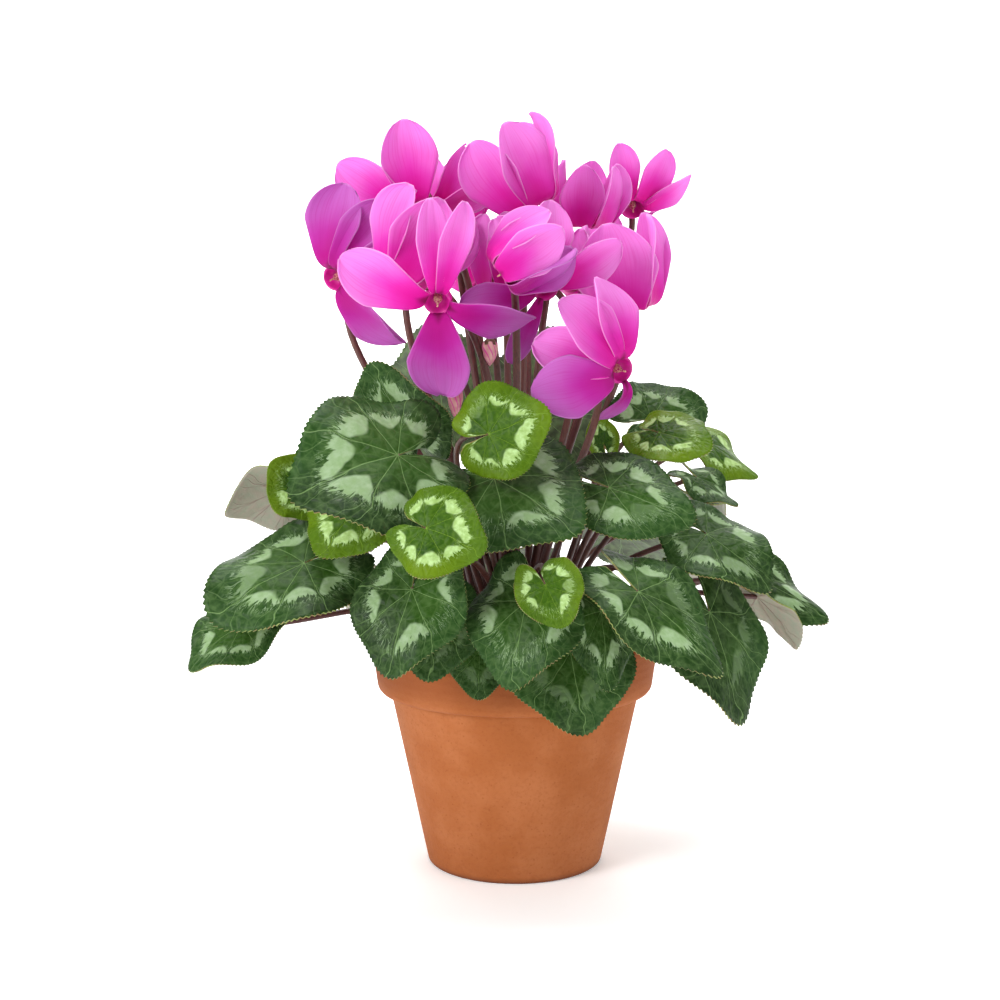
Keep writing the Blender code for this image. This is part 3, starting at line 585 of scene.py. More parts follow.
def sepal_material(look):
    """Calyx: thin brownish-green sepals with darker spots."""
    made, shader, node, link = new_material("sepal", 0.6)
    spots = node("TexNoise", {"Vector": node("TexCoord", out="Object"), "Scale": per(1.2)})
    spots = node("MapRange", [spots, 0.4, 0.65], **SMOOTH)
    link(node("Mix", {0: spots, 6: look.sepal, 7: look.sepal_spot}, **TONES), shader.inputs["Base Color"])
    return made


def bud_material(look):
    """Closed bud: rolled petals, cream at the base and rosy along the twisted seams."""
    made, shader, node, link = new_material("bud", 0.5)
    place = node("TexCoord", out="Object")
    patch = node("TexNoise", {"Vector": place, "Scale": per(4)})
    rolled = {"Vector": node("UVMap", uv_map="petal"), "Scale": 1.6, "Distortion": 1.0}
    seams = node("TexWave", rolled, out=1, bands_direction="DIAGONAL")
    blushing = node("MapRange", [patch, 0.35, 0.7], **SMOOTH)
    tone = node("Mix", {0: blushing, 6: look.bud, 7: look.bud_blush}, **TONES)
    seamed = node("MapRange", [seams, 0.7, 0.95, 0.0, 0.7], **SMOOTH)
    tone = node("Mix", {0: seamed, 6: tone, 7: look.deep}, **TONES)
    link(tone, shader.inputs["Base Color"])
    link(node("Bump", {"Height": seams, "Distance": 0.2 * MM}), shader.inputs["Normal"])
    return made


def paper_material(tone):
    """Seamless studio paper: plain, matte and pale, with a faint light through it that softens shadows."""
    plain = {"Specular_IOR_Level": 0.1, "Emission_Strength": 0.22, "Emission_Color": (1, 1, 1, 1)}
    made, shader, node, link = new_material("studio paper", 0.9, **plain)
    tooth = node("TexNoise", {"Vector": node("TexCoord", out="Object"), "Scale": per(3)})
    darker = tuple(part * 0.985 for part in tone)
    link(node("Mix", {0: tooth, 6: tone, 7: darker}, **TONES), shader.inputs["Base Color"])
    return made


# ---------------------------------------------------------------- shapes


def polar_direction(turn, rise):
    """Unit vector at an angle round from the front and an angle up."""
    flat = math.cos(math.radians(rise))
    return Vector((
        math.sin(math.radians(turn)) * flat,
        -math.cos(math.radians(turn)) * flat,
        math.sin(math.radians(rise)),
    ))


def arc_length(chord, turn):
    """Length of an arc over a chord that turns by an angle in all."""
    return chord if turn == 0 else chord * (turn / 2) / math.sin(turn / 2)


def arc(distance, bend):
    """Along and down for a distance on an arc that turns by bend for each unit."""
    if bend == 0:
        return distance, 0.0
    return math.sin(bend * distance) / bend, (math.cos(bend * distance) - 1) / bend


def stand_for(piece, node):
    """Put a piece in the scene in place of a node of the CAD model."""
    bpy.context.scene.collection.objects.link(piece)
    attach(piece, "root")
    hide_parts(node)
    return piece


def to_piece(name, bm, looks, node, crisp=None):
    """Turn a bmesh measured in millimetres into a finished piece."""
    bmesh.ops.scale(bm, verts=bm.verts, vec=(MM, MM, MM))
    mesh = bpy.data.meshes.new(name)
    bm.to_mesh(mesh)
    bm.free()
    mesh.shade_smooth()
    if crisp:
        mesh.set_sharp_from_angle(angle=math.radians(crisp))
    for look in looks:
        mesh.materials.append(look)
    return stand_for(bpy.data.objects.new(name, mesh), node)


def thicken(piece, thickness, under=0, rim=0):
    """Give a sheet its thickness, half to each side, and step to the looks of its underside and rim."""
    solid = piece.modifiers.new("thickness", "SOLIDIFY")
    solid.thickness = thickness
    solid.offset = 0
    solid.material_offset = under
    solid.material_offset_rim = rim
    return piece


def spin_outline(bm, profile, steps):
    """Spin an outline of (radius, z) points about +Z and give the new vertices."""
    before = set(bm.verts)
    points = [bm.verts.new((radius, 0, z)) for radius, z in profile]
    closed = profile[0][0] != 0
    pairs = zip(points, points[1:] + points[:1] if closed else points[1:])
    edges = [bm.edges.new(pair) for pair in pairs]
    bmesh.ops.spin(
        bm, geom=points + edges, cent=(0, 0, 0), axis=(0, 0, 1),
        angle=math.tau, steps=steps, use_merge=True,
    )
    made = [vert for vert in bm.verts if vert not in before]
    bmesh.ops.remove_doubles(bm, verts=made, dist=1e-4)
    made = [vert for vert in bm.verts if vert not in before]
    faces = {face for vert in made for face in vert.link_faces}
    bmesh.ops.recalc_face_normals(bm, faces=list(faces))
    return made


def inner_radius(z):
    """Radius of the pot's inside at a height."""
    slope = (POT_BODY_RADIUS - POT_BASE_RADIUS) / (POT_HEIGHT - COLLAR_HEIGHT)
    return POT_BASE_RADIUS - POT_WALL + slope * z


def make_pot(steps, look):
    """Flaring pot with a thicker collar and rounded edges."""
    collar_bottom = POT_HEIGHT - COLLAR_HEIGHT
    collar_radius = POT_BODY_RADIUS + COLLAR_STEP
    profile = [
        (DRAIN_RADIUS, 0),
        (POT_BASE_RADIUS, 0),
        (POT_BODY_RADIUS, collar_bottom),
        (collar_radius, collar_bottom),
        (POT_RIM_RADIUS, POT_HEIGHT),
        (inner_radius(POT_HEIGHT), POT_HEIGHT),
        (inner_radius(POT_FLOOR), POT_FLOOR),
        (DRAIN_RADIUS, POT_FLOOR),
    ]
    bm = bmesh.new()
    spin_outline(bm, profile, steps)
    rounded = {1: FOOT_ROUND, 3: COLLAR_ROUND, 4: RIM_ROUND, 5: RIM_ROUND}
    for number, width in rounded.items():
        corner = Vector(profile[number])
        near = {vert for vert in bm.verts if (Vector((vert.co.xy.length, vert.co.z)) - corner).length < 0.05}
        edges = [edge for edge in bm.edges if near.issuperset(edge.verts)]
        bmesh.ops.bevel(bm, geom=edges, offset=width, segments=4, profile=0.5, affect="EDGES", material=-1)
    return to_piece("terracotta_pot", bm, [look], "pot", 40)


def make_soil(look, crumbs, crumb_size):
    """Domed bed of soil with lumps, and loose crumbs lying on it."""
    bed = bmesh.new()
    shoulder = SOIL_TOP - SOIL_DOME
    edge = inner_radius(shoulder) - SOIL_GAP
    base = POT_FLOOR + SOIL_GAP
    profile = [(0, base), (inner_radius(base) - SOIL_GAP, base), (edge, shoulder - 1)]
    rings = 14
    for number in range(rings):
        share = 1 - number / rings
        profile.append((edge * share, SOIL_TOP - SOIL_DOME * share**4))
    profile.append((0, SOIL_TOP))
    spin_outline(bed, profile, 96)
    for vert in bed.verts:
        if vert.co.z > shoulder - 0.5 and vert.co.xy.length < edge - 1:
            vert.co.z += noise.fractal(vert.co * 0.2, 0.8, 2.0, 4) * SOIL_LUMPS
    rng = random.Random(5)
    for _ in range(crumbs):
        turn, reach = rng.uniform(0, math.tau), edge * math.sqrt(rng.uniform(0.15, 0.92))
        size = crumb_size * rng.uniform(0.5, 1.4)
        place = Matrix.Translation((reach * math.cos(turn), reach * math.sin(turn), SOIL_TOP - 0.3))
        squash = Matrix.Diagonal((rng.uniform(0.7, 1.2), rng.uniform(0.7, 1.2), rng.uniform(0.5, 0.9), 1))
        spun = Matrix.Rotation(rng.uniform(0, math.tau), 4, "Z")
        bmesh.ops.create_icosphere(bed, subdivisions=1, radius=size, matrix=place @ spun @ squash)
    return to_piece("soil_bed", bed, [look], "soil", 50)


def make_tuber(look):
    """Squat corky tuber, knobbly where the stalks leave it."""
    middle = (TUBER_TOP + TUBER_BOTTOM) / 2
    half = (TUBER_TOP - TUBER_BOTTOM) / 2
    bm = bmesh.new()
    place = Matrix.Translation((0, 0, middle)) @ Matrix.Diagonal((TUBER_RADIUS, TUBER_RADIUS, half, 1))
    bmesh.ops.create_uvsphere(bm, u_segments=64, v_segments=32, radius=1, matrix=place)
    for vert in bm.verts:
        outward = (vert.co - Vector((0, 0, middle))).normalized()
        vert.co += outward * noise.fractal(vert.co * 0.18, 0.7, 2.0, 3) * TUBER_KNOBS
    return to_piece("tuber", bm, [look], "tuber_and_stalks")


def bezier(points, fraction):
    """Point of a cubic curve through four control points."""
    rest = 1 - fraction
    weights = (rest**3, 3 * rest**2 * fraction, 3 * rest * fraction**2, fraction**3)
    return sum((weight * point for weight, point in zip(weights, points)), Vector())


def curve_points(controls, segments):
    """Points along a cubic curve, both ends among them."""
    return [bezier(controls, step / segments) for step in range(segments + 1)]


def crown_point(towards):
    """Start of a stalk, inside the tuber's shoulder on the side that the stalk goes to."""
    flat = Vector((towards.x, towards.y, 0))
    flat = flat.normalized() * min(CROWN_RADIUS, flat.length * CROWN_SHARE)
    return Vector((flat.x, flat.y, TUBER_TOP - STALK_ROOT_DEPTH))


def blade_axes(leaf):
    """Midrib direction, leftward direction and upper side of a blade."""
    along = (Vector(leaf.tip) - Vector(leaf.base)).normalized()
    looks = polar_direction(*leaf.face)
    upper = (looks - along * looks.dot(along)).normalized()
    return along, upper.cross(along), upper


def leaf_stalk_points(leaf, bend):
    """Arching way from the tuber to the underside of a blade, through the pull of a bend if it has one."""
    along, _, upper = blade_axes(leaf)
    arrive = (upper * 0.8 + along * 0.6).normalized()
    end = Vector(leaf.base) - arrive * (BLADE_THICKNESS / 2 + STALK_END_GAP + LEAF_STALK_RADIUS)
    start = crown_point(end)
    reach = (end - start).length
    rise = Vector((start.x, start.y, 0)).normalized() * 0.35 + Vector((0, 0, 1))
    before = Vector(bend) if bend else end - arrive * reach * 0.3
    points = curve_points((start, start + rise * reach * 0.4, before, end), LEAF_STALK_STEPS)
    return points + [Vector(leaf.base) - upper * 0.3]


def round_sweep(bloom, turn):
    """Direction square to a bloom's sweep, at an angle round it."""
    sweep = polar_direction(*bloom.sweep)
    side = sweep.cross(Vector((0, 0, 1))).normalized()
    return Matrix.Rotation(math.radians(turn), 3, sweep) @ side


def bloom_frame(bloom):
    """Sweep of the petals, the side that the hook comes in by, and the direction across both."""
    sweep, side = polar_direction(*bloom.sweep), round_sweep(bloom, bloom.hook)
    return sweep, side, sweep.cross(side)


def flower_stalk_points(bloom, bend):
    """Way from the tuber up beside a bloom's mouth and over in a hook down to its calyx."""
    sweep, side, _ = bloom_frame(bloom)
    opened = math.radians(bloom.open)
    mouth = Vector(bloom.mouth)
    beside = mouth + side * HOOK_OFFSET + sweep * (4 + 8 * math.sin(opened))
    heading = sweep * math.cos(opened) - side * math.sin(opened)
    calyx = mouth + sweep * (CALYX_HEIGHT + STALK_END_GAP)
    start = crown_point(beside)
    reach = (beside - start).length
    before = Vector(bend) if bend else beside - heading * reach * 0.22
    rising = (start, start + Vector((0, 0, 0.45 * reach)), before, beside)
    hook = HOOK_OFFSET * 0.9
    hooked = (beside, beside + heading * hook, calyx + sweep * hook, calyx)
    way = curve_points(rising, STALK_STEPS)[:-1] + curve_points(hooked, HOOK_STEPS)
    return way + [mouth + sweep * (CALYX_HEIGHT - 1)]


def bud_stalk_points(bud):
    """Way from the tuber up and over in a small hook to a nodding bud."""
    hang = polar_direction(*bud.hang)
    top = Vector(bud.tip) - hang * (bud.length + STALK_END_GAP * 1.5)
    start = crown_point(top)
    reach = (top - start).length
    controls = (start, start + Vector((0, 0, 0.6 * reach)), top - hang * 0.2 * reach, top)
    return curve_points(controls, STALK_STEPS) + [top + hang * STALK_END_GAP * 2]


def make_stalks(name, ways, thick, thin, look):
    """Round stalks that taper from the crown to their ends, as one curve."""
    curve = bpy.data.curves.new(name, "CURVE")
    curve.dimensions = "3D"
    curve.bevel_depth = MM
    curve.bevel_resolution = 3
    curve.use_fill_caps = True
    for way in ways:
        spline = curve.splines.new("POLY")
        spline.points.add(len(way) - 1)
        for number, point in enumerate(way):
            share = number / (len(way) - 1)
            spline.points[number].co = (*(point * MM), 1)
            spline.points[number].radius = thick + (thin - thick) * share
        spline.use_smooth = True
    curve.materials.append(look)
    return stand_for(bpy.data.objects.new(name, curve), "tuber_and_stalks")


def outline_reach(turn):
    """Reach of a heart-shaped blade at an angle from its midrib, in midribs."""
    reach = BLADE_REACH + BLADE_FORWARD * math.cos(turn)
    reach += BLADE_TIP * math.exp(-((turn / TIP_SPREAD) ** 2)) - BLADE_CORNERS * (1 - math.cos(5 * turn))
    lobe = max(0.0, (abs(math.degrees(turn)) - LOBE_ANGLE) / (180 - NOTCH_ANGLE - LOBE_ANGLE))
    return reach * (1 - LOBE_ROUNDING * lobe**2)


def blade_point(leaf, fraction, turn, tooth, quilt):
    """Place on a blade's middle surface by the fraction of its reach at an angle, lifted by its quilting."""
    along, left, upper = blade_axes(leaf)
    curve = math.radians(leaf.bend)
    length = arc_length((Vector(leaf.tip) - Vector(leaf.base)).length, curve)
    reach = outline_reach(turn) * length * (1 + tooth) * fraction
    half_width = BLADE_REACH * length
    side, sag = arc(reach * math.sin(turn) * leaf.width, math.radians(leaf.fold) / half_width)
    lift = sag + leaf.wave * fraction**2 * math.sin(WAVES_ROUND * turn + length) + quilt
    distance = reach * math.cos(turn)
    ahead, drop = arc(distance, curve / length)
    lean = curve * distance / length
    spot = Vector((ahead + lift * math.sin(lean), side, drop + lift * math.cos(lean)))
    spot.rotate(Matrix.Rotation(-curve / 2, 3, "Y"))
    return Vector(leaf.base) + along * spot.x + left * spot.y + upper * spot.z


def each_leaf():
    """Every leaf after its name."""
    for group, leaves in LEAVES.items():
        for number, leaf in enumerate(leaves, 1):
            yield f"leaf_{group}_{number}", leaf


def make_blade(name, leaf, number, sizes, looks):
    """Heart-shaped blade with a finely toothed, gently waved margin and quilting between its veins."""
    bm = bmesh.new()
    polar = bm.loops.layers.uv.new("polar")
    flat = bm.loops.layers.uv.new("flat")
    bmesh.ops.create_grid(bm, x_segments=sizes.rings, y_segments=sizes.teeth * 2, size=1)
    for vert in bm.verts:
        fraction = ((vert.co.x + 1) / 2) ** 0.9
        turn = vert.co.y * math.radians(180 - NOTCH_ANGLE)
        for loop in vert.link_loops:
            loop[polar].uv = (fraction, turn / math.tau + 0.5)
            reach = outline_reach(turn) * fraction / MAP_MIDRIBS
            loop[flat].uv = (number + 0.5 + reach * math.sin(turn), 0.5 + reach * math.cos(turn))
        step = round((vert.co.y + 1) * sizes.teeth)
        tooth = sizes.tooth_depth * ((-1) ** step * 0.5 - 0.5) if fraction > 0.995 else 0
        ruffle = noise.noise(Vector((math.sin(turn), math.cos(turn), number)) * RUFFLES_ROUND)
        vein = abs((turn / math.tau * MAIN_VEINS) % 1 - 0.5)
        quilt = (0.25 - vein**2) * QUILT_HEIGHT * fraction * (1.15 - fraction)
        quilt += ruffle * RUFFLE_HEIGHT * fraction**4
        vert.co = blade_point(leaf, fraction, turn, tooth + ruffle * RUFFLE_REACH * fraction, quilt)
    bmesh.ops.remove_doubles(bm, verts=bm.verts, dist=1e-4)
    return thicken(to_piece(name + "_blade", bm, looks, name), sizes.thickness, 1, 2)


def petal_width(fraction):
    """Width of a petal at a fraction of its length, in widths."""
    width = PETAL_BASE + (1 - PETAL_BASE) * min(1.0, fraction / PETAL_WIDEST) ** 0.9
    past = max(0.0, (fraction - PETAL_WIDEST) / (1 - PETAL_WIDEST))
    return width * math.sqrt(1 - 0.975 * past**2.4)


def petal_lean(opened, fraction):
    """Angle between a petal and the sweep: it leaves the mouth outward, then folds back."""
    folding = max(0.0, 1 - fraction / FOLD_END)
    return math.radians(opened + (MOUTH_LEAN - opened) * folding**2 - TIP_CLOSING * fraction)


def petal_row(bloom, outward, opened, fraction):
    """Middle of a petal at a fraction of its length, the way it runs there, and the way across it."""
    sweep = polar_direction(*bloom.sweep)
    steps = 24
    step_length = PETAL_LENGTH * bloom.size * fraction / steps
    spot = outward * THROAT_RADIUS * 0.8
    for step in range(steps):
        lean = petal_lean(opened, fraction * (step + 0.5) / steps)
        spot += (sweep * math.cos(lean) + outward * math.sin(lean)) * step_length
    lean = petal_lean(opened, fraction)
    ahead = sweep * math.cos(lean) + outward * math.sin(lean)
    twist = Matrix.Rotation(math.radians(PETAL_TWIST * fraction), 3, ahead)
    return spot, ahead, twist @ sweep.cross(outward)


def paint(verts, number):
    """Give the faces round some vertices a material by its number."""
    for face in {face for vert in verts for face in vert.link_faces}:
        face.material_index = number


def add_petal(bm, layer, bloom, petal, rng, ruffle):
    """One petal as a smooth sheet: curled halves, a shallow groove along it and a softly waved edge. A
    petal in the shade of the plant takes the second, more violet look."""
    rows, columns = 26, 14
    turn, opened, broad = petal
    outward = round_sweep(bloom, turn)
    before = set(bm.verts)
    bmesh.ops.create_grid(bm, x_segments=rows, y_segments=columns, size=1)
    phase, waves, cup = rng.uniform(0, math.tau), rng.uniform(5, 8), rng.uniform(0.8, 1.15)
    known = {}
    for vert in [vert for vert in bm.verts if vert not in before]:
        fraction, across = (vert.co.x + 1) / 2, vert.co.y
        for loop in vert.link_loops:
            loop[layer].uv = (fraction, (across + 1) / 2)
        key = round(fraction * rows)
        if key not in known:
            known[key] = petal_row(bloom, outward, opened, fraction)
        spot, ahead, aside = known[key]
        half_width = PETAL_WIDTH * bloom.size * broad * petal_width(fraction) / 2
        side, sag = arc(across * half_width, PETAL_CURL * cup * fraction / half_width)
        edge = abs(across) ** 3 * math.sin(waves * fraction + phase + (1.5 if across > 0 else 0))
        groove = -GROOVE_DEPTH * math.exp(-((across / GROOVE_WIDTH) ** 2)) * fraction
        lift = sag + ruffle * edge * fraction**0.7 + groove
        drop = (across**2 * PETAL_TIP_DROP + abs(across) ** 5 * PETAL_CORNER_DROP) * half_width
        vert.co = Vector(bloom.mouth) + spot + aside * side - aside.cross(ahead) * lift - ahead * drop
    if petal_row(bloom, outward, opened, 0.6)[0].z < SHADED_BELOW or bloom in SHADED_BLOOMS:
        paint([vert for vert in bm.verts if vert not in before], 1)


def make_petals(name, bloom, number, sizes, looks):
    """Five swept petals of a bloom, with a wider gap where the stalk comes in."""
    rng = random.Random(100 + number)
    bm = bmesh.new()
    layer = bm.loops.layers.uv.new("petal")
    for petal in bloom.petals:
        add_petal(bm, layer, bloom, petal, rng, sizes.ruffle / MM)
    return thicken(to_piece(name + "_petals", bm, looks, name), sizes.thickness)


def make_heart(name, bloom, looks):
    """Middle of a bloom: its open throat with anthers and style, and the calyx with five sepals."""
    sweep, side, across = bloom_frame(bloom)
    bm = bmesh.new()
    throat = [
        (0, 5.0), (2.8, 4.6), (4.0, 2.4), (4.7, 0.4), (5.3, -0.2), (5.8, 0.6),
        (6.0, 2.6), (5.6, 5.0), (4.4, 7.0), (2.6, 8.4), (0, 9.0),
    ]
    paint(spin_outline(bm, throat, 24), 0)
    anthers = [(0, 4.9), (1.9, 4.8), (1.8, 3.0), (0.9, 1.0), (0.45, 0.2), (0.4, -2.2), (0, -2.4)]
    paint(spin_outline(bm, anthers, 10), 1)
    cup = [(0, 11.2), (1.5, 10.8), (2.3, 9.6), (3.6, 8.4), (4.6, 7.4), (4.3, 7.2), (2.4, 7.6), (0, 7.8)]
    paint(spin_outline(bm, cup, 20), 2)
    for number in range(PETALS):
        before = set(bm.verts)
        bmesh.ops.create_grid(bm, x_segments=6, y_segments=4, size=1)
        blade = [vert for vert in bm.verts if vert not in before]
        turn = math.tau * (number + 0.5) / PETALS
        for vert in blade:
            share, aside = (vert.co.x + 1) / 2, vert.co.y
            half = SEPAL_HALF_WIDTH * math.sin(math.pi * min(0.98, 0.3 + 0.68 * share))
            half *= 1 - 0.35 * share
            radius = 4.3 + 2.3 * math.sin(share * 1.7)
            angle = turn + aside * half / radius
            vert.co = (radius * math.cos(angle), radius * math.sin(angle), 7.9 - 5.2 * share)
        faces = list({face for vert in blade for face in vert.link_faces})
        bmesh.ops.recalc_face_normals(bm, faces=faces)
        made = bmesh.ops.solidify(bm, geom=faces, thickness=SEPAL_THICKNESS)["geom"]
        paint(blade + [item for item in made if isinstance(item, bmesh.types.BMVert)], 2)
    turned = Matrix((side, across, sweep)).transposed()
    bmesh.ops.rotate(bm, matrix=turned, verts=bm.verts)
    bmesh.ops.translate(bm, vec=Vector(bloom.mouth), verts=bm.verts)
    return to_piece(name + "_heart", bm, looks, name)


def make_bud(name, bud, looks):
    """Closed bud of rolled petals that comes to a point under a small calyx."""
    hang = polar_direction(*bud.hang)
    bm = bmesh.new()
    layer = bm.loops.layers.uv.new("petal")
    rows = 18
    profile = [(0, 0)]
    for row in range(1, rows):
        share = row / rows
        radius = BUD_RADIUS * math.sin(math.pi * min(1.0, share + 0.12) ** 0.72) ** 0.8
        profile.append((radius, bud.length * share))
    profile.append((0, bud.length))
    body = spin_outline(bm, profile, 30)
    for vert in body:
        share = vert.co.z / bud.length
        turn = math.atan2(vert.co.y, vert.co.x)
        seam = 1 + 0.12 * math.sin(5 * turn + 4.0 * share)
        vert.co.x *= seam
        vert.co.y *= seam
        for loop in vert.link_loops:
            loop[layer].uv = (share, (turn / math.tau + 0.5) * 3)
    cup = [(0, -1.6), (1.3, -1.4), (2.6, 0.2), (3.0, 1.8), (2.5, 1.9), (0, 1.0)]
    paint(spin_outline(bm, cup, 20), 1)
    turned = hang.to_track_quat("Z", "Y").to_matrix()
    bmesh.ops.rotate(bm, matrix=turned, verts=bm.verts)
    bmesh.ops.translate(bm, vec=Vector(bud.tip) - hang * bud.length, verts=bm.verts)
    return to_piece(name + "_rolled", bm, looks, name)


# ---------------------------------------------------------------- stage


def make_paper(look):
    """Seamless paper that sweeps up behind the plant in a wide curve."""
    half_side, wall, curve = 3.0, 3.5, 1.2
    bm = bmesh.new()
    bmesh.ops.create_grid(bm, x_segments=1, y_segments=1, size=half_side)
    back = [edge for edge in bm.edges if all(vert.co.y > half_side - 0.1 for vert in edge.verts)]
    made = bmesh.ops.extrude_edge_only(bm, edges=back)["geom"]
    lifted = [item for item in made if isinstance(item, bmesh.types.BMVert)]
    bmesh.ops.translate(bm, vec=(0, 0, wall), verts=lifted)
    bmesh.ops.bevel(bm, geom=back, offset=curve, segments=12, profile=0.5, affect="EDGES", material=-1)
    bmesh.ops.recalc_face_normals(bm, faces=bm.faces)
    mesh = bpy.data.meshes.new("paper")
    bm.to_mesh(mesh)
    bm.free()
    mesh.shade_smooth()
    mesh.materials.append(look)
    paper = bpy.data.objects.new("paper", mesh)
    bpy.context.scene.collection.objects.link(paper)


def hang_light(name, place, heading, width, power):
    """Round soft light that shines along a heading."""
    lamp = bpy.data.lights.new(name, "AREA")
    lamp.shape = "DISK"
    lamp.size = width
    lamp.energy = power
    light = bpy.data.objects.new(name, lamp)
    light.location = place
    light.rotation_euler = heading.to_track_quat("-Z", "Y").to_euler()
    bpy.context.scene.collection.objects.link(light)


def fill_room(strength):
    """Even white light from all round, shown in plain tones."""
    world = bpy.data.worlds.new("room")
    world.use_nodes = True
    sky = world.node_tree.nodes["Background"]
    sky.inputs["Color"].default_value = (1, 1, 1, 1)
    sky.inputs["Strength"].default_value = strength
    bpy.context.scene.world = world
    bpy.context.scene.view_settings.view_transform = "Standard"


def place_camera(lens):
    """Camera in front of the plant, a little above it and looking slightly down."""
    eye = bpy.data.cameras.new("camera")
    eye.lens = lens
    eye.sensor_width = 36
    camera = bpy.data.objects.new("camera", eye)
    camera.location = (-0.00675, -0.72, 0.236)
    camera.rotation_euler = (math.radians(90 - 5.6), 0, 0)
    bpy.context.scene.collection.objects.link(camera)
    bpy.context.scene.camera = camera


# ---------------------------------------------------------------- settings


class CyclamenPot(bpy.types.PropertyGroup):
    """Sizes and colours of the pot and its soil."""

    steps: bpy.props.IntProperty(
        name="Turning Steps", description="Facets round the pot", default=144, min=24, max=512
    )
    clay: colour("Clay", "Fired clay", "#9C582C")
    pale_clay: colour("Pale Clay", "Bloom of salts on the clay", "#A8653B")
    # dark clay gives the real specks and also the painted shade round the rim
    dark_clay: colour("Dark Clay", "Specks and painted rim shade in the clay", "#8A4A24")
    # painted contact shadow at the pot's foot
    foot_shadow: colour("Foot Shadow", "Painted shadow line at the pot's foot", "#5E3220")
    crumbs: bpy.props.IntProperty(
        name="Crumbs", description="Loose crumbs on the soil", default=260, min=0, max=1500
    )
    crumb_size: millimetres("Crumb Size", "Radius of a crumb", 1.2)
    peat: colour("Peat", "Moist peat", "#1C120C")
    fibre: colour("Fibre", "Brown fibres in the peat", "#3B281A")
    grain: colour("Grain", "Pale grains in the peat", "#8A7D6B")


class CyclamenStalks(bpy.types.PropertyGroup):
    """Sizes and colours of the tuber and the stalks."""

    leaf_thick: millimetres("Leaf Stalk at Crown", "Radius of a leaf stalk at the crown", 1.6)
    leaf_thin: millimetres("Leaf Stalk at Blade", "Radius of a leaf stalk at its blade", 1.1)
    flower_thick: millimetres("Flower Stalk at Crown", "Radius of a flower stalk at the crown", 1.9)
    flower_thin: millimetres("Flower Stalk at Bloom", "Radius of a flower stalk at its bloom", 1.3)
    tuber: colour("Tuber", "Cork of the tuber", "#5B4230")
    peat: colour("Cracks", "Dark cracks in the cork", "#1C120C")
    leaf_stalk: colour("Leaf Stalk", "Upper part of a leaf stalk", "#5F4534")
    flower_stalk: colour("Flower Stalk", "Upper part of a flower stalk", "#62362D")
    crown: colour("Crown", "Stalks near the crown", "#4A201C")
    streak: colour("Streak", "Darker streaks along the stalks", "#3B1A16")


class CyclamenLeaves(bpy.types.PropertyGroup):
    """Sizes and colours of the leaf blades."""

    rings: bpy.props.IntProperty(
        name="Rings", description="Rings of faces from stalk to margin", default=14, min=4, max=40
    )
    teeth: bpy.props.IntProperty(
        name="Teeth", description="Teeth round a blade", default=96, min=20, max=200
    )
    tooth_depth: bpy.props.FloatProperty(
        name="Tooth Depth", description="Depth of a tooth against the blade's reach", default=0.024
    )
    thickness: millimetres("Thickness", "Thickness of a blade", 0.6)
    centre: colour("Centre", "Middle of a mature blade", "#27480E")
    margin: colour("Margin", "Margin of a mature blade", "#203F14")
    silver: colour("Silver", "Patches on a mature blade", "#98B08A")
    vein: colour("Vein", "Veins of a mature blade", "#76965A")
    shade: colour("Shade", "Darker parts of a mature blade", "#112607")
    young_centre: colour("Young Centre", "Middle of a young blade", "#1A3C06")
    young_margin: colour("Young Margin", "Margin of a young blade", "#587208")
    young_silver: colour("Young Silver", "Patches on a young blade", "#AECB8C")
    young_vein: colour("Young Vein", "Veins of a young blade", "#70922A")
    young_shade: colour("Young Shade", "Darker parts of a young blade", "#345506")
    under: colour("Underside", "Underside of a blade", "#8E9480")
    # painted shade: the dark green look of the blades that stand behind the stalks
    painted_shade_under: colour("Painted Shade Underside", "Underside of a blade that stands in shade", "#2C3C1E")
    under_vein: colour("Underside Vein", "Veins on the underside", "#A98D84")
    tooth: colour("Tooth", "Pale edge of the teeth", "#7F8F46")
    gland: colour("Gland", "Reddish tips of the teeth", "#7C6A3A")


class CyclamenBlooms(bpy.types.PropertyGroup):
    """Sizes and colours of the blooms and buds."""

    thickness: millimetres("Thickness", "Thickness of a petal", 0.45)
    ruffle: millimetres("Ruffle", "Height of the waves along a petal's edge", 1.1)
    throat: colour("Throat", "Wine red at the mouth", "#98005A")
    deep: colour("Deep", "Deep magenta above the mouth", "#DC0AA0")
    pink: colour("Pink", "Hot pink of the petals", "#E63CC4")
    pale: colour("Pale", "Pale pink towards the tips", "#F292E6")
    rim: colour("Rim", "Pale line along the edge", "#FFCDF6")
    violet: colour("Violet", "Tint of shaded petals", "#B078C0")
    anther: colour("Anther", "Stamens and style", "#C99A86")
    sepal: colour("Sepal", "Sepals of the calyx", "#7A6A45")
    sepal_spot: colour("Sepal Spot", "Darker spots on the sepals", "#5A3A2C")
    bud: colour("Bud", "Closed bud", "#E9B9AE")
    bud_blush: colour("Bud Blush", "Rosy parts of a bud", "#D98A94")


class CyclamenStage(bpy.types.PropertyGroup):
    """Paper, lights and lens of the studio."""

    paper: colour("Paper", "Seamless paper under and behind the pot", "#FFFFFF")
    key: watts("Key", "Power of the light from the left", 18.0)
    fill: watts("Fill", "Power of the light from the right", 7.0)
    top: watts("Top", "Power of the light from above", 26.0)
    back: watts("Back", "Power of the light on the paper", 110.0)
    room: bpy.props.FloatProperty(name="Room", description="Light from all round", default=0.35)
    lens: bpy.props.FloatProperty(name="Lens", description="Focal length in millimetres", default=57.6)


# ---------------------------------------------------------------- operators


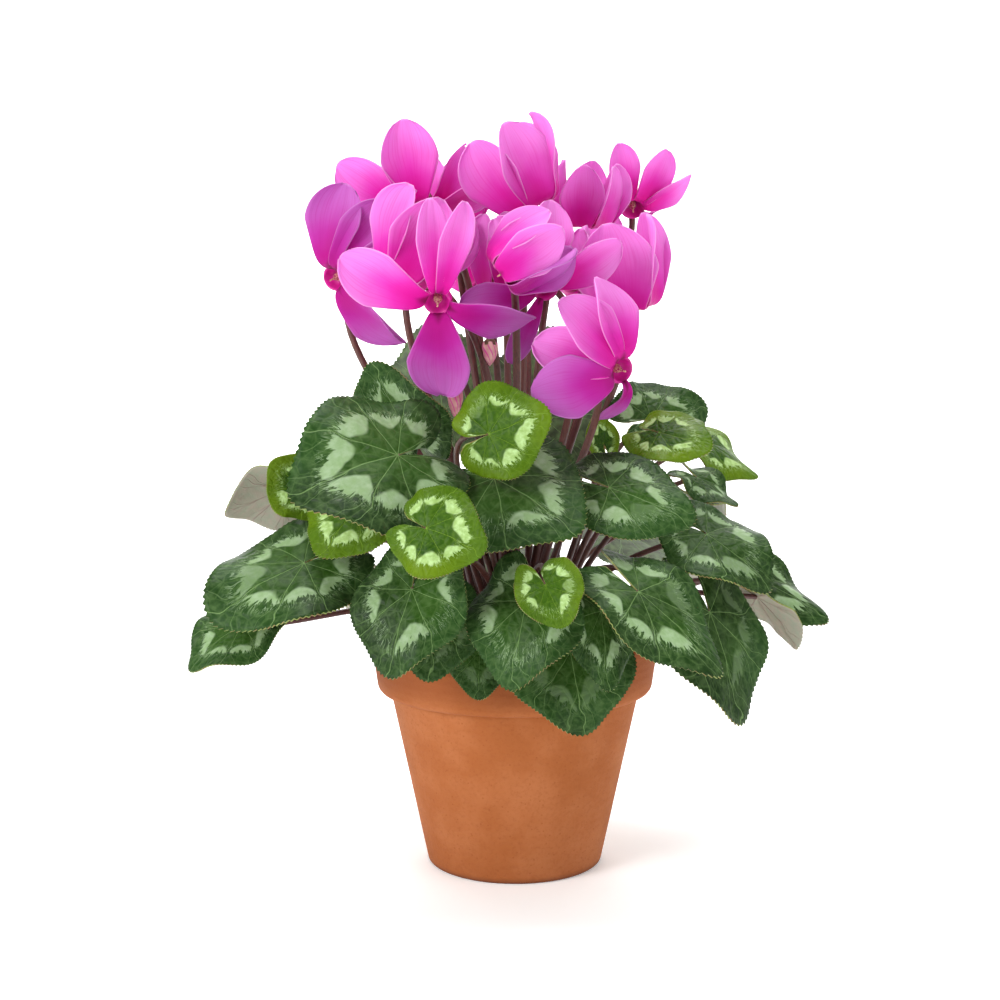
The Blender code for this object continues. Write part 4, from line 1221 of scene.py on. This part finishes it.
class CYCLAMEN_OT_stage(bpy.types.Operator):
    """Make the seamless paper, the soft lights and the camera."""

    bl_idname = "cyclamen.stage"
    bl_label = "Make Stage"

    def execute(self, context):
        sizes = context.scene.cyclamen_stage
        make_paper(paper_material(sizes.paper))
        middle = Vector((0, 0, 0.17))
        lights = [
            ("key_light", (-1.1, -1.0, 0.8), 0.8, sizes.key),
            ("fill_light", (1.3, -0.9, 0.6), 1.2, sizes.fill),
            ("top_light", (0, 0.2, 1.5), 1.2, sizes.top),
        ]
        for name, place, width, power in lights:
            hang_light(name, place, middle - Vector(place), width, power)
        hang_light("paper_light", (0, 1.3, 1.9), polar_direction(180, -18), 1.6, sizes.back)
        fill_room(sizes.room)
        place_camera(sizes.lens)
        return {"FINISHED"}


class CYCLAMEN_OT_pot(bpy.types.Operator):
    """Make the terracotta pot and the bed of soil in it."""

    bl_idname = "cyclamen.pot"
    bl_label = "Make Pot and Soil"

    def execute(self, context):
        sizes = context.scene.cyclamen_pot
        make_pot(sizes.steps, terracotta_material(sizes))
        make_soil(soil_material(sizes), sizes.crumbs, sizes.crumb_size / MM)
        return {"FINISHED"}


class CYCLAMEN_OT_stalks(bpy.types.Operator):
    """Make the tuber with every leaf stalk and flower stalk."""

    bl_idname = "cyclamen.stalks"
    bl_label = "Make Tuber and Stalks"

    def execute(self, context):
        sizes = context.scene.cyclamen_stalks
        make_tuber(tuber_material(sizes))
        leaf_look = stalk_material("leaf stalk", sizes.leaf_stalk, sizes)
        flower_look = stalk_material("flower stalk", sizes.flower_stalk, sizes)
        leaf_ways = [leaf_stalk_points(leaf, STALK_BENDS.get(name)) for name, leaf in each_leaf()]
        flower_ways = [
            flower_stalk_points(bloom, STALK_BENDS.get(f"bloom_{number}"))
            for number, bloom in enumerate(BLOOMS, 1)
        ]
        flower_ways += [bud_stalk_points(bud) for bud in BUDS]
        make_stalks("leaf_stalks", leaf_ways, sizes.leaf_thick / MM, sizes.leaf_thin / MM, leaf_look)
        make_stalks(
            "flower_stalks", flower_ways, sizes.flower_thick / MM, sizes.flower_thin / MM, flower_look
        )
        return {"FINISHED"}


class CYCLAMEN_OT_leaves(bpy.types.Operator):
    """Make every leaf blade."""

    bl_idname = "cyclamen.leaves"
    bl_label = "Make Leaves"

    def execute(self, context):
        sizes = context.scene.cyclamen_leaves
        grown = [sizes.centre, sizes.margin, sizes.silver, sizes.vein, sizes.shade]
        growing = [
            sizes.young_centre, sizes.young_margin, sizes.young_silver, sizes.young_vein, sizes.young_shade,
        ]
        mature = upper_material("mature leaf", *grown, 0.85)
        young = upper_material("young leaf", *growing, 1.0)
        # painted shade: the low leaves in the plant's shade keep the mature colours with their silver
        # patches faded
        plain = upper_material("shaded leaf", *grown, 0.25)
        under = under_material("leaf underside", sizes.under, sizes.under_vein)
        # painted shade: a dark green underside look, put on the front of the blades behind the stalks
        deep = under_material("painted shade underside", sizes.painted_shade_under, sizes.vein)
        edge = edge_material(sizes)
        looks = {
            "mature": [mature, under, edge],
            "young": [young, under, edge],
            "plain": [plain, under, edge],
            # the sides of these that face the front take the dark green underside look: painted shade for
            # the dark gap behind the stalks
            "inner": [mature, deep, edge],
            "turned": [deep, mature, edge],
        }
        for number, (name, leaf) in enumerate(each_leaf()):
            make_blade(name, leaf, number, sizes, looks[leaf.kind])
        return {"FINISHED"}


class CYCLAMEN_OT_blooms(bpy.types.Operator):
    """Make every bloom and bud."""

    bl_idname = "cyclamen.blooms"
    bl_label = "Make Blooms and Buds"

    def execute(self, context):
        sizes = context.scene.cyclamen_blooms
        petal = petal_material("petal", sizes, 0.0)
        shaded = petal_material("shaded petal", sizes, 0.55)
        heart = [throat_material(sizes), anther_material(sizes), sepal_material(sizes)]
        for number, bloom in enumerate(BLOOMS, 1):
            make_petals(f"bloom_{number}", bloom, number, sizes, [petal, shaded])
            make_heart(f"bloom_{number}", bloom, heart)
        bud_look = bud_material(sizes)
        for number, bud in enumerate(BUDS, 1):
            make_bud(f"bud_{number}", bud, [bud_look, heart[2]])
        return {"FINISHED"}


class CYCLAMEN_PT_panel(bpy.types.Panel):
    """Buttons and settings of the cyclamen."""

    bl_idname = "CYCLAMEN_PT_panel"
    bl_label = "Cyclamen"
    bl_space_type = "VIEW_3D"
    bl_region_type = "UI"
    bl_category = "Cyclamen"

    def draw(self, context):
        for operator, group in (
            (CYCLAMEN_OT_stage, context.scene.cyclamen_stage),
            (CYCLAMEN_OT_pot, context.scene.cyclamen_pot),
            (CYCLAMEN_OT_stalks, context.scene.cyclamen_stalks),
            (CYCLAMEN_OT_leaves, context.scene.cyclamen_leaves),
            (CYCLAMEN_OT_blooms, context.scene.cyclamen_blooms),
        ):
            box = self.layout.box()
            box.operator(operator.bl_idname)
            for setting in group.__annotations__:
                box.prop(group, setting)


GROUPS = {
    "cyclamen_stage": CyclamenStage,
    "cyclamen_pot": CyclamenPot,
    "cyclamen_stalks": CyclamenStalks,
    "cyclamen_leaves": CyclamenLeaves,
    "cyclamen_blooms": CyclamenBlooms,
}
CLASSES = (
    *GROUPS.values(),
    CYCLAMEN_OT_stage,
    CYCLAMEN_OT_pot,
    CYCLAMEN_OT_stalks,
    CYCLAMEN_OT_leaves,
    CYCLAMEN_OT_blooms,
    CYCLAMEN_PT_panel,
)


def register():
    """Add the classes and their settings to the scene."""
    for item in CLASSES:
        bpy.utils.register_class(item)
    for name, group in GROUPS.items():
        setattr(bpy.types.Scene, name, bpy.props.PointerProperty(type=group))


def unregister():
    """Take them out again."""
    for name in GROUPS:
        delattr(bpy.types.Scene, name)
    for item in reversed(CLASSES):
        bpy.utils.unregister_class(item)


def main():
    """Make the stage and every piece."""
    register()
    bpy.ops.cyclamen.stage()
    bpy.ops.cyclamen.pot()
    bpy.ops.cyclamen.stalks()
    bpy.ops.cyclamen.leaves()
    bpy.ops.cyclamen.blooms()
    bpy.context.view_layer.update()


if __name__ == "__main__":
    main()
